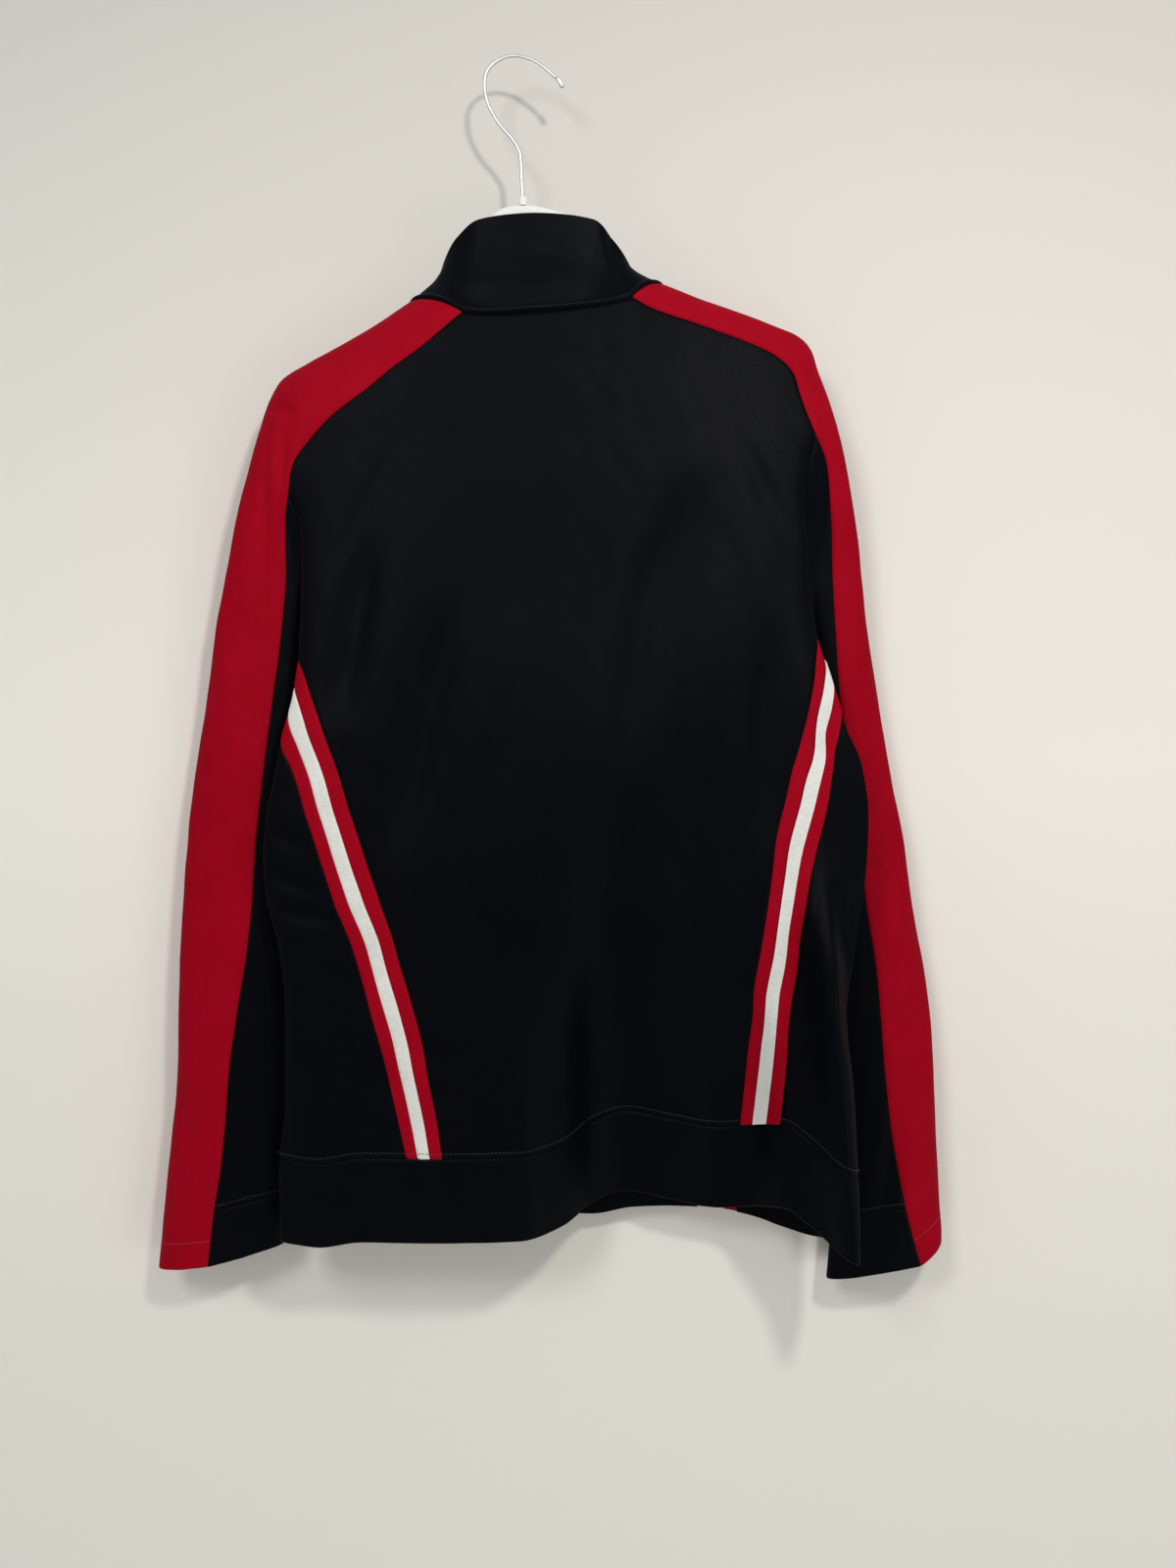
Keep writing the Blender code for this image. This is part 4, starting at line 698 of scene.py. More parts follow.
def sleeve_stations(side):
    """Back seam, outer line, front seam and inner line of the sleeve, for each row."""
    top = SHOULDERS[side][-1]
    back_top = body(*body_place(top[0], top[1]))
    front_top = body(*body_place(top[4], top[5], True))
    table = SLEEVES[side]
    first = np.array([(back_top[2], top[3], table[0, 2] + INNER_START, back_top[0], top[2],
                       table[0, 5], back_top[1], front_top[1])])
    rows = np.vstack([first, table])
    index = np.arange(len(rows), dtype=float)
    seam_row = len(rows) - 2
    levels = rows[0, 0] + (rows[seam_row, 0] - rows[0, 0]) * SLEEVE_SHARES
    at = np.append(smooth(-rows[:, 0], index, -levels), seam_row + CUFF_SHARES[1:])
    seam_z, outer_z, inner_z, seam_x, outer_x, inner_x, back_y, front_y = (
        smooth(index, rows[:, k], at) for k in range(8))
    middle = (back_y + front_y) / 2
    back = np.stack([seam_x, back_y, seam_z], -1)
    front = np.stack([seam_x, front_y, seam_z], -1)
    fallen = (rows[0, 0] - seam_z) / SEAM_SHARE_STEP
    share = smooth(range(len(FRONT_SEAM_SHARES)), FRONT_SEAM_SHARES, fallen)
    front[:, 0] += (front_top[0] - back_top[0]) * share
    front[:, 2] += (front_top[2] - back_top[2]) * share ** 2
    outer = np.stack([outer_x, middle * ease(at, 0, OUTER_TURN_ROWS), outer_z], -1)
    inner = np.stack([inner_x, middle, inner_z], -1)
    return back, outer, front, inner


def half_oval(back, apex, front, turn):
    """Half oval from the back seam over the apex to the front seam, for each station."""
    turn = (turn * math.pi)[None, :, None]
    centre = ((back + front) / 2)[:, None, :]
    reach = np.cos(turn) * ((back - front) / 2)[:, None, :]
    return centre + reach + np.sin(turn) * (apex[:, None, :] - centre)


def red_grid(side):
    """Half ovals from the neck over the shoulder and down the sleeve to its edge."""
    rows = through(SHOULDERS[side], 1 - SHOULDER_SHARES[::-1])
    back = body(*body_place(rows[:, 0], rows[:, 1]).T)
    front = body(*body_place(rows[:, 4], rows[:, 5], True).T)
    ridge = np.stack([rows[:, 2], np.zeros(len(rows)), rows[:, 3]], -1)
    lines = zip((back, ridge, front), sleeve_stations(side)[:3])
    back, ridge, front = (np.vstack([a, b[1:]]) for a, b in lines)
    return half_oval(back, ridge, front, GIRTH_SHARES)


def under_grid(side, armhole):
    """The sleeve's under piece: each column starts on the armhole and joins the oval tube.

    A column starts where the tube is as low as its armhole point. From there its distance
    from the tube dies away with the height that it has fallen.
    """
    back, _, front, inner = sleeve_stations(side)
    count = len(armhole)
    half = ARMHOLE_SHARES / 2
    tube = half_oval(back, inner, front, np.append(half, 1 - half[-2::-1]))
    arm = tube[:SLEEVE_ROWS + 1]
    columns = np.arange(count)
    above = np.clip((arm[..., 2] > armhole[None, :, 2]).sum(axis=0) - 1, 0, SLEEVE_ROWS - 1)
    drop = arm[above, columns, 2] - arm[above + 1, columns, 2]
    share = np.clip((arm[above, columns, 2] - armhole[:, 2]) / np.maximum(drop, 1e-6), 0, 1)
    first = above + share
    first[0] = first[-1] = 0.0
    station = first[None, :] + (SLEEVE_ROWS - first)[None, :] * SLEEVE_SHARES[:, None]
    row = np.minimum(station.astype(int), SLEEVE_ROWS - 1)
    part = (station - row)[..., None]
    on_tube = arm[row, columns] * (1 - part) + arm[row + 1, columns] * part
    fallen = (on_tube[:1, :, 2] - on_tube[..., 2])[..., None]
    away = (armhole[None] - on_tube[:1]) * np.exp(-(fallen / ARMHOLE_REACH) ** ARMHOLE_FADE)
    return np.concatenate([on_tube + away, tube[SLEEVE_ROWS + 1:]])


# ---------------------------------------------------------------- stitches

def stitch_row(name, line, normals, finish, lift):
    """A row of topstitches: short rounded threads laid end to end along a line on the cloth.

    Each thread is a six-sided tube of four rings. Its middle rings are full, its end rings
    are a third as wide and sunk to the cloth, and it follows the line's own direction. Two
    four-sided faces close each end.
    """
    length = along(line)[-1]
    pitch = STITCH_LENGTH + STITCH_GAP
    starts = np.arange(0, length - STITCH_LENGTH, pitch)
    at = starts[:, None] + THREAD_SHARES[None, :] * STITCH_LENGTH
    centre = at_lengths(line, at.ravel()).reshape(*at.shape, 3)
    up = unit(at_lengths_with(line, normals, at.ravel()).reshape(*at.shape, 3))
    way = unit(centre[:, -1] - centre[:, 0])[:, None]
    side = unit(np.cross(way, up))
    centre = centre + up * (lift + THREAD_RISE * THREAD)[None, :, None]
    k = np.arange(6)
    turn = k / 6 * 2 * math.pi
    circle = (np.cos(turn)[None, None, :, None] * side[:, :, None]
              + np.sin(turn)[None, None, :, None] * up[:, :, None])
    points = centre[:, :, None] + circle * (THREAD_WIDTHS * THREAD / 2)[None, :, None, None]
    ring_faces = np.stack([k, (k + 1) % 6, (k + 1) % 6 + 6, k + 6], -1)
    one = np.concatenate([ring_faces, ring_faces + 6, ring_faces + 12,
                          [[3, 2, 1, 0], [5, 4, 3, 0], [18, 19, 20, 21], [18, 21, 22, 23]]])
    faces = (one[None] + (np.arange(len(starts)) * 24)[:, None, None]).reshape(-1, 4)
    solid = points.reshape(-1, 3)
    if signed_volume(solid, faces) < 0:
        faces = faces[:, ::-1]
    finish_piece(add_mesh(name, solid, faces), finish)


def at_lengths_with(line, values, lengths):
    """Values given at a line's points, taken at distances along it."""
    s = along(line)
    return np.stack([np.interp(lengths, s, values[:, k]) for k in range(3)], axis=-1)


def inset_line(cloth, edge, inset):
    """The line on a cloth at a distance from one of its borders, with the normals there."""
    points, normals = cloth.points, cloth.normals
    if edge in ("left", "right"):
        points, normals = points.transpose(1, 0, 2), normals.transpose(1, 0, 2)
    if edge in ("end", "right"):
        points, normals = points[::-1], normals[::-1]
    down = np.cumsum(np.linalg.norm(np.diff(points, axis=0), axis=-1), axis=0)
    down = np.vstack([np.zeros((1, points.shape[1])), down])
    row = np.clip((down < inset).sum(axis=0) - 1, 0, len(points) - 2)
    column = np.arange(points.shape[1])
    gap = np.maximum(down[row + 1, column] - down[row, column], 1e-6)
    part = ((inset - down[row, column]) / gap)[:, None]
    line = points[row, column] * (1 - part) + points[row + 1, column] * part
    return line, unit(normals[row, column] * (1 - part) + normals[row + 1, column] * part)


# ---------------------------------------------------------------- cloth pieces

# Seams: depth of the dip, height of the turned-in layers and how wide they lie
PLAIN_SEAM = (0.9, 0.0, 0.0)
FELLED_SEAM = (0.9, 0.45, 6.0)
TAPE_SEAM = (0.7, 0.0, 0.0)
NECK_SEAM = (1.6, 1.3, 4.2)
# How far a piece stands proud of the surface that it shares with its neighbours
TAPE_LIFT, BAND_LIFT, COLLAR_LIFT, RED_LIFT, ZIP_TAPE_LIFT = 0.45, 0.25, 0.2, 0.15, -0.4
# Length over which the body's creases give way to the sleeve's, the under-sleeve's columns
# beside a seam that are drawn straight from it, and one part in how many moves with it
SLEEVE_BLEND = 60.0
SEAM_STRIP, SEAM_PART = 9, 6
# The collar's middle, the power of its lean and the height where its creases are full
COLLAR_CENTRE = np.array([-14.0, 0.0, 0.0])
COLLAR_FLARE = 1.6
COLLAR_SHARES = spaced(85)
COLLAR_CREASE_REACH = 22
BODY_CENTRE = np.array([-36.0, 12.0, 0.0])
FLAT = np.array([1.0, 1.0, 0.0])


def body_cloth(places):
    """Cloth on the body at a grid of angles and heights."""
    points = body(places[..., 0], places[..., 1])
    return Cloth(points, (points - BODY_CENTRE) * FLAT, body_creases)


def body_cloths():
    """The back and both fronts, each with the angles and heights of its grid."""
    places = {"back": between(panel_edge("left", False), panel_edge("right", False), BACK_SPAN,
                              NECK_BOW, NECK_BOW_REACH)}
    for side in SIGN:
        edge = panel_edge(side, True)
        places[side] = between(edge, zip_edge(side, len(edge)), FRONT_SPAN, FRONT_NECK_BOW,
                               FRONT_NECK_BOW_REACH)
    return {name: body_cloth(place) for name, place in places.items()}, places


def down_to_hem(edge):
    """A tape's edge carried straight down over the hem band at the angle of its low end."""
    lows = HEM + (HEM_SEAM - HEM) * HEM_SHARES[:-1]
    return np.vstack([np.stack([lows * 0 + edge[0, 0], lows], -1), edge])


def build_tapes(paint):
    """Three strips for the back and the front of each side; the front ones reach the hem."""
    edges = {}
    for side in SIGN:
        for front in (False, True):
            edges[side, front] = tape_edges(side, front)
            for k, strip in enumerate(TAPE_STRIPS):
                ends = edges[side, front][k:k + 2]
                if front:
                    ends = map(down_to_hem, ends)
                cloth = body_cloth(between(*ends, TAPE_STRIP_SPAN))
                name = f"tape_{'front' if front else 'back'}_{side}_{strip}"
                colour = "white_fabric" if strip == "white" else "red_fabric"
                build_cloth(name, cloth, paint["tape_" + colour],
                            {"left": TAPE_SEAM, "right": TAPE_SEAM, "start": TAPE_SEAM},
                            lift=TAPE_LIFT)
    return edges


def tape_cloth(edges, front):
    """The three strips of a side tape as one cloth, from its inner to its outer edge."""
    ends = [edges[0], edges[-1]]
    if front:
        ends = map(down_to_hem, ends)
    return body_cloth(between(*ends, len(TAPE_STRIPS) * TAPE_STRIP_SPAN + 1))


def build_side_panels(edges, paint):
    """The panel between the two tapes of each side, which ends in a point below the arm."""
    places = {}
    for side in SIGN:
        places[side] = between(edges[side, False][-1], edges[side, True][-1], SIDE_SPAN)
        cloth = body_cloth(places[side][:-1])
        build_cloth("side_panel_" + side, cloth, paint["black"],
                    {"left": PLAIN_SEAM, "right": PLAIN_SEAM, "start": FELLED_SEAM})
    return places


def build_hem(places, edges, sides, paint):
    """The hem band: one piece round the back between the front tapes, and one on each front."""
    round_back = [places["back"][0, :, 0]]
    for side in SIGN:
        round_back += [sides[side][0, :, 0]]
        for a, b in zip(edges[side, False], edges[side, False][1:]):
            round_back.append(a[0, 0] + (b[0, 0] - a[0, 0]) * 
                                np.linspace(0, 1, TAPE_HEM_STEPS))
    angles = {"hem_band_back": np.unique(np.round(np.concatenate(round_back), 6))[::-1]}
    for side in SIGN:
        angles["hem_band_front_" + side] = places[side][0, :, 0]
    heights = HEM + (HEM_SEAM - HEM) * HEM_SHARES
    bands = {}
    for name, turns in angles.items():
        grid = np.stack(np.broadcast_arrays(turns[None, :], heights[:, None]), -1)
        bands[name] = body_cloth(grid)
        build_cloth(name, bands[name], paint["black"],
                    {"end": PLAIN_SEAM, "left": PLAIN_SEAM, "right": PLAIN_SEAM},
                    wall=BAND_WALL, free=("start",), lift=BAND_LIFT)
    return bands


def sleeve_cloths(cloths):
    """Shoulder and sleeve panel and under-sleeve of each arm.

    Near the body both take the body's creases, so that the seams stay closed, and further
    down the arm's own. The under-sleeve's first row rises along the body's own normals.
    """
    reds, unders = {}, {}
    armhole = slice(TAPE_ROWS, TAPE_ROWS + ARMHOLE_ROWS + 1)
    shoulder = len(SHOULDER_SHARES) - 1
    for side in SIGN:
        column = 0 if side == "left" else -1
        back, front = cloths["back"], cloths[side]
        edge = np.vstack([back.points[armhole, column][::-1], front.points[armhole, 0][1:]])
        points = red_grid(side)

        def red_rise(grid, normals):
            down = edge_distances(grid)["start"]
            share = ease(down - down[shoulder], 0, SLEEVE_BLEND)
            return (body_creases(grid, normals) * (1 - share)
                    + sleeve_creases(grid, normals) * share)

        reds[side] = Cloth(points, points - points[:, [0, -1]].mean(axis=1, keepdims=True),
                           red_rise)

        def under_rise(grid, normals):
            down = edge_distances(grid)["start"]
            return sleeve_creases(grid, normals) * ease(down, 0, SLEEVE_BLEND)

        points = under_grid(side, edge)
        unders[side] = Cloth(points, points - points[:, [0, -1]].mean(axis=1, keepdims=True),
                             under_rise)
        close_seam(unders[side], reds[side], shoulder, edge)
    return reds, unders


def close_seam(under, red, shoulder, edge):
    """Moves the under-sleeve's borders onto the seams, fading over its nearest columns.

    The strip beside each seam is then drawn straight from the seam, so that it never folds
    back over the seam where the sleeve leaves the armhole.
    """
    for column, way in ((0, 1), (-1, -1)):
        target = red.points[shoulder:, column]
        gap = target - under.points[:, column]
        reach = under.points.shape[1] // SEAM_PART
        for k in range(reach):
            share = 0.5 + 0.5 * math.cos(math.pi * k / reach)
            under.points[:, column + way * k] += gap * share
        inner = under.points[:, column + way * SEAM_STRIP]
        for k in range(SEAM_STRIP):
            share = ARMHOLE_SHARES[k] / ARMHOLE_SHARES[SEAM_STRIP]
            under.points[:, column + way * k] = target + (inner - target) * share
    gap = edge - under.points[0]
    fall = edge_distances(under.points)["start"]
    under.points += gap[None] * (1 - ease(fall, 0, SLEEVE_BLEND))[..., None]
    under.normals = grid_normals(under.points, under.normals)


def collar_cloth(cloths, reds):
    """Stand-up collar: each column rises from the neck seam to the sloping top edge."""
    neck = (cloths["left"].points[-1, ::-1], reds["left"].points[0, ::-1],
            cloths["back"].points[-1], reds["right"].points[0], cloths["right"].points[-1])
    base = np.vstack([line[1 if k else 0:] for k, line in enumerate(neck)])
    flat = base - COLLAR_CENTRE
    turn = np.degrees(np.arctan2(flat[:, 0], flat[:, 1]))
    turn[0], turn[-1] = 180.0, -180.0
    top = np.stack([smooth(COLLAR_TOP[:, 0], COLLAR_TOP[:, k], turn) for k in (1, 2, 3)], -1)
    top[0, 0], top[-1, 0] = ZIP_X_NECK + ZIP_OPENING / 2, ZIP_X_NECK - ZIP_OPENING / 2
    rise = COLLAR_SHARES[:, None, None]
    lean = 1 - (1 - rise) ** COLLAR_FLARE
    points = base[None] + (top - base)[None] * np.concatenate([lean, lean, rise], axis=-1)

    def rise_of(grid, normals):
        return collar_creases(grid, normals) * ease(edge_distances(grid)["start"], 0,
                                                    COLLAR_CREASE_REACH)

    return Cloth(points, (points - COLLAR_CENTRE) * FLAT, rise_of)


def build_panels(cloths, reds, unders, collar, paint):
    """Back, fronts, shoulder panels, under-sleeves, cuffs and collar."""
    plain = dict.fromkeys(("start", "end", "left", "right"), PLAIN_SEAM)
    build_cloth("back_panel", cloths["back"], paint["black"],
                dict(plain, start=FELLED_SEAM))
    for side in SIGN:
        under = unders[side]
        build_cloth("front_panel_" + side, cloths[side], paint["black"],
                    dict(plain, start=FELLED_SEAM))
        build_cloth("shoulder_panel_" + side, reds[side], paint["red"],
                    {"start": PLAIN_SEAM, "left": PLAIN_SEAM, "right": PLAIN_SEAM},
                    free=("end",), lift=RED_LIFT)
        build_cloth("under_sleeve_" + side, under.part(slice(0, SLEEVE_ROWS + 1)),
                    paint["black"], dict(plain, end=FELLED_SEAM))
        build_cloth("cuff_band_" + side, under.part(slice(SLEEVE_ROWS, None)),
                    paint["black"],
                    {"start": PLAIN_SEAM, "left": PLAIN_SEAM, "right": PLAIN_SEAM},
                    wall=BAND_WALL, free=("end",), lift=BAND_LIFT)
    build_cloth("collar", collar, paint["black"],
                {"start": NECK_SEAM}, wall=COLLAR_WALL, free=("end",), lift=COLLAR_LIFT)


# ---------------------------------------------------------------- zip

CHAIN_WIDTH, CHAIN_THICKNESS = 5.4, 2.6
# Teeth: pitch, first and last distance from the ends, and one tooth's outline across and
# along the chain, with its four layers as share of the chain's thickness and size
TOOTH_PITCH, FIRST_TOOTH, TOOTH_ROOM = 3.0, 3.0, 4.0
TOOTH_THICKNESS, TOOTH_SUNK = 0.85, 0.2
TOOTH_OUTLINE = np.array([(-2.7, -1.05), (-1.2, -1.05), (-0.4, -0.55), (0.7, -0.75), (0.7, 0.75),
                          (-0.4, 0.55), (-1.2, 1.05), (-2.7, 1.05)])
TOOTH_LAYERS = ((-0.5, 0.80), (-0.38, 1.0), (0.38, 1.0), (0.5, 0.80))
SLIDER_WIDTH, SLIDER_LENGTH, SLIDER_PLATE = 8.6, 11.0, 1.4
SLIDER_CLEARANCE = 0.6
SLIDER_BELOW_TOP = 2.0
BAIL_WIDTH, BAIL_BAR, BAIL_HEIGHT, BAIL_DEPTH = 2.2, 1.2, 4.0, 2.4
PULL_WIDTH, PULL_LENGTH, PULL_THICKNESS, PULL_BAR = 7.0, 24.0, 1.4, 1.4
# Points round a plate's corner, and rings across its rounded edge
CORNER_POINTS, EDGE_RINGS = 5, 4
# Slider plates: the share of the width at the low end, the top's share of that, the corners'
# radius and that of the edges
SLIDER_LOW_SHARE, SLIDER_TOP_SHARE, SLIDER_CORNER, SLIDER_EDGE = 0.84, 1.19, 1.6, 0.5
# Post between the plates: distance below the top, half sizes and radii
POST_BELOW_TOP, POST_HALF, POST_CORNER, POST_EDGE = 1.8, (2.0, 1.4), 0.8, 0.1
# How far the post runs into the plates, and the bail and its gap into the front plate
POST_SUNK, BAIL_SUNK, BAIL_GAP_SUNK = 0.4, 0.2, 0.1
BAIL_CORNER, BAIL_EDGE, BAIL_GAP_CORNER = 1.4, 0.45, 0.8
# Pull tab: its radii and its share of width at the top, and its window's half sizes
PULL_CORNER, PULL_EDGE, PULL_TOP_SHARE = 1.5, 0.4, 0.8
WINDOW_HALF, WINDOW_CORNER = (1.6, 1.75), 0.6
# Grip ribs of the pull tab: count, first place above the low end, pitch, half sizes, height
RIBS, FIRST_RIB, RIB_PITCH, RIB_HALF, RIB_RISE = 5, 4.0, 2.2, (2.1, 0.45), 0.18
RIB_CORNER, RIB_EDGE = 0.4, 0.15
# Shapes that cut a gap: the radius of their edges, and half the depth of the window's
CUTTER_EDGE, CUTTER_DEPTH = 0.05, 3


def build_zip(cloths, bands, collar, paint):
    """Zip tapes and teeth, which fill the opening from the hem up to the collar's edge."""
    sides = []
    for side, column in (("left", 0), ("right", -1)):
        pieces = ((bands["hem_band_front_" + side], slice(None, -1), -1),
                  (cloths[side], slice(None), -1), (collar, slice(1, None), column))
        sides.append([np.vstack([getattr(cloth, what)[rows, at] for cloth, rows, at in pieces])
                      for what in ("points", "normals")])
    (left, left_n), (right, right_n) = sides
    up = unit(left_n + right_n)
    chain = CHAIN_WIDTH / ZIP_OPENING / 2
    for name, low, high in (("left", 0.0, 0.5 - chain), ("right", 0.5 + chain, 1.0)):
        shares = np.linspace(low, high, ZIP_TAPE_COLUMNS)[None, :, None]
        points = left[:, None] * (1 - shares) + right[:, None] * shares
        cloth = Cloth(points, np.repeat(up[:, None], ZIP_TAPE_COLUMNS, axis=1))
        build_cloth("zip_tape_" + name, cloth, paint["zip_tape"], {},
                    wall=ZIP_TAPE_WALL, lift=ZIP_TAPE_LIFT)
    middle = (left + right) / 2
    teeth = build_teeth(middle, up, unit(right - left))
    finish_piece(teeth, paint["zip_teeth"], nodes=("zip_chain",))
    return middle[-1]


def build_teeth(line, up, across):
    """Rows of moulded teeth: each is a block with a narrow waist, and sides take turns.

    One tooth is a profile of eight points, wide at its root and head, drawn through the
    chain's thickness in four layers whose outer ones are a little smaller.
    """
    top = along(line)[-1] - SLIDER_BELOW_TOP - TOOTH_ROOM
    starts = np.arange(FIRST_TOOTH, top, TOOTH_PITCH / 2)
    side = np.where(np.arange(len(starts)) % 2 == 0, 1.0, -1.0)
    centre = at_lengths(line, starts)
    out = unit(at_lengths_with(line, up, starts))
    over = unit(at_lengths_with(line, across, starts))
    way = unit(np.cross(over, out))
    flat = (-TOOTH_OUTLINE[None, :, :1] * side[:, None, None] * over[:, None]
            + TOOTH_OUTLINE[None, :, 1:] * way[:, None])
    thickness = CHAIN_THICKNESS * TOOTH_THICKNESS
    rings = [centre[:, None] + flat * size + out[:, None] * (depth * thickness - TOOTH_SUNK)
             for depth, size in TOOTH_LAYERS]
    points = np.stack(rings, axis=1).reshape(-1, 3)
    k = np.arange(8)
    ring_faces = np.stack([k, (k + 1) % 8, (k + 1) % 8 + 8, k + 8], -1)
    caps = np.array([(0, 1, 6, 7), (1, 2, 5, 6), (2, 3, 4, 5)])
    one = np.concatenate([ring_faces, ring_faces + 8, ring_faces + 16, caps[:, ::-1], caps + 24])
    faces = one[None] + (np.arange(len(starts)) * 32)[:, None, None]
    flipped = side < 0
    faces[flipped] = faces[flipped][:, :, ::-1]
    faces = faces.reshape(-1, 4)
    if signed_volume(points, faces) < 0:
        faces = faces[:, ::-1]
    return add_mesh("zip_teeth", points, faces, smooth_angle=TOOTH_SHARP_ANGLE)


def swept_plate(outline, low, high, edge):
    """Points and faces of a plate with rounded edges, from an outline in x and z.

    The outline is drawn in towards its middle by a quarter circle as it nears each face.
    """
    outline = np.asarray(outline, float)
    middle = outline.mean(axis=0)
    reach = np.linalg.norm(outline - middle, axis=1, keepdims=True)
    turn = np.linspace(0, math.pi / 2, EDGE_RINGS)
    depths = np.concatenate([low + edge * (1 - np.sin(turn)), high - edge * (1 - np.sin(turn))])
    depths = np.concatenate([depths[:EDGE_RINGS][::-1], depths[EDGE_RINGS:]])
    insets = np.concatenate([edge * (1 - np.cos(turn))[::-1], edge * (1 - np.cos(turn))])
    layers = []
    for depth, inset in zip(depths, insets):
        flat = middle + (outline - middle) * (1 - inset / reach)
        layers.append(np.stack([flat[:, 0], np.full(len(flat), depth), flat[:, 1]], -1))
    count = len(outline)
    points = np.concatenate(layers)
    k = np.arange(count)
    ring = np.stack([k, (k + 1) % count, (k + 1) % count + count, k + count], -1)
    sides = np.concatenate([ring + count * r for r in range(len(layers) - 1)])
    return points, sides, count


def plate_object(name, outline, low, high, edge):
    """A rounded plate as a mesh object, its two faces closed by one polygon each."""
    points, sides, count = swept_plate(outline, low, high, edge)
    last = len(points) - count
    faces = [list(range(count))[::-1], list(range(last, last + count))]
    return solid_object(name, points, faces + sides.tolist())


def solid_object(name, points, faces):
    """A closed mesh object in metres at the origin, from millimetre points and mixed faces."""
    mesh = bpy.data.meshes.new(name)
    mesh.from_pydata((points * MM).tolist(), [], faces)
    made = bpy.data.objects.new(name, mesh)
    bpy.context.scene.collection.objects.link(made)
    outward(made)
    return made


def outward(made):
    """Merges a mesh's doubles and turns its faces outward."""
    work = bmesh.new()
    work.from_mesh(made.data)
    bmesh.ops.remove_doubles(work, verts=work.verts, dist=1e-6)
    bmesh.ops.recalc_face_normals(work, faces=work.faces)
    work.to_mesh(made.data)
    work.free()
    made.data.shade_smooth()
    made.data.set_sharp_from_angle(angle=math.radians(SHARP_ANGLE))


def rounded(x, z, half_width, half_height, corner, top_share=1.0):
    """Outline of a rounded rectangle round a point, its top wider or narrower by a share."""
    turn = np.linspace(0, math.pi / 2, CORNER_POINTS)
    points = []
    for k, (sx, sz) in enumerate(((1, 1), (-1, 1), (-1, -1), (1, -1))):
        width = half_width * (top_share if sz > 0 else 1.0)
        arc = turn + k * math.pi / 2
        points.append(np.stack([x + sx * (width - corner) + corner * np.cos(arc),
                                z + sz * (half_height - corner) + corner * np.sin(arc)], -1))
    return np.concatenate(points)


def cut(target, tools, operation="DIFFERENCE"):
    """Cuts other objects out of one, or joins them to it, and removes them."""
    for tool in tools:
        step = target.modifiers.new("shape", "BOOLEAN")
        step.operation, step.solver, step.object = operation, "EXACT", tool
    graph = bpy.context.evaluated_depsgraph_get()
    mesh = bpy.data.meshes.new_from_object(target.evaluated_get(graph))
    target.modifiers.clear()
    target.data = mesh
    for tool in tools:
        bpy.data.objects.remove(tool, do_unlink=True)
    outward(target)


def build_slider(top, paint):
    """Slider: two flared plates joined by a post, with a bail that carries the pull tab."""
    x, z_top = top[0], top[2] - SLIDER_BELOW_TOP
    front = top[1] - CHAIN_THICKNESS / 2 - SLIDER_CLEARANCE
    back = top[1] + CHAIN_THICKNESS / 2 + 2 * SLIDER_CLEARANCE
    z_mid, half = z_top - SLIDER_LENGTH / 2, SLIDER_LENGTH / 2
    face = front - SLIDER_PLATE
    outline = rounded(x, z_mid, SLIDER_WIDTH / 2 * SLIDER_LOW_SHARE, half, SLIDER_CORNER,
                      top_share=SLIDER_TOP_SHARE)
    post = rounded(x, z_top - POST_BELOW_TOP, *POST_HALF, POST_CORNER)
    slider = plate_object("zip_slider_body", outline, face, front, SLIDER_EDGE)
    others = [plate_object("back", outline, back, back + SLIDER_PLATE, SLIDER_EDGE),
              plate_object("post", post, front - POST_SUNK, back + POST_SUNK, POST_EDGE)]
    reach = (BAIL_DEPTH + BAIL_BAR) / 2
    bail = rounded(face - reach + BAIL_SUNK, z_mid, reach + BAIL_SUNK,
                   BAIL_HEIGHT / 2 + BAIL_BAR, BAIL_CORNER)
    hole = rounded(face - BAIL_DEPTH / 2 + BAIL_GAP_SUNK, z_mid, BAIL_DEPTH / 2 + BAIL_GAP_SUNK,
                   BAIL_HEIGHT / 2, BAIL_GAP_CORNER)
    loop = turned(plate_object("bail", bail, -BAIL_WIDTH / 2, BAIL_WIDTH / 2, BAIL_EDGE), x)
    gap = turned(plate_object("gap", hole, -BAIL_WIDTH, BAIL_WIDTH, CUTTER_EDGE), x)
    cut(loop, [gap])
    cut(slider, others + [loop], "UNION")
    finish_piece(slider, paint["zip_metal"], nodes=("zip_slider",))
    return np.array([x, face - BAIL_DEPTH / 2, z_mid])


def turned(made, x):
    """Turns a plate drawn in x and z about the upright axis, so that it lies in y and z."""
    points = np.empty(len(made.data.vertices) * 3)
    made.data.vertices.foreach_get("co", points)
    points = points.reshape(-1, 3)
    points = np.stack([points[:, 1] + x * MM, points[:, 0], points[:, 2]], -1)
    made.data.vertices.foreach_set("co", points.ravel())
    outward(made)
    return made


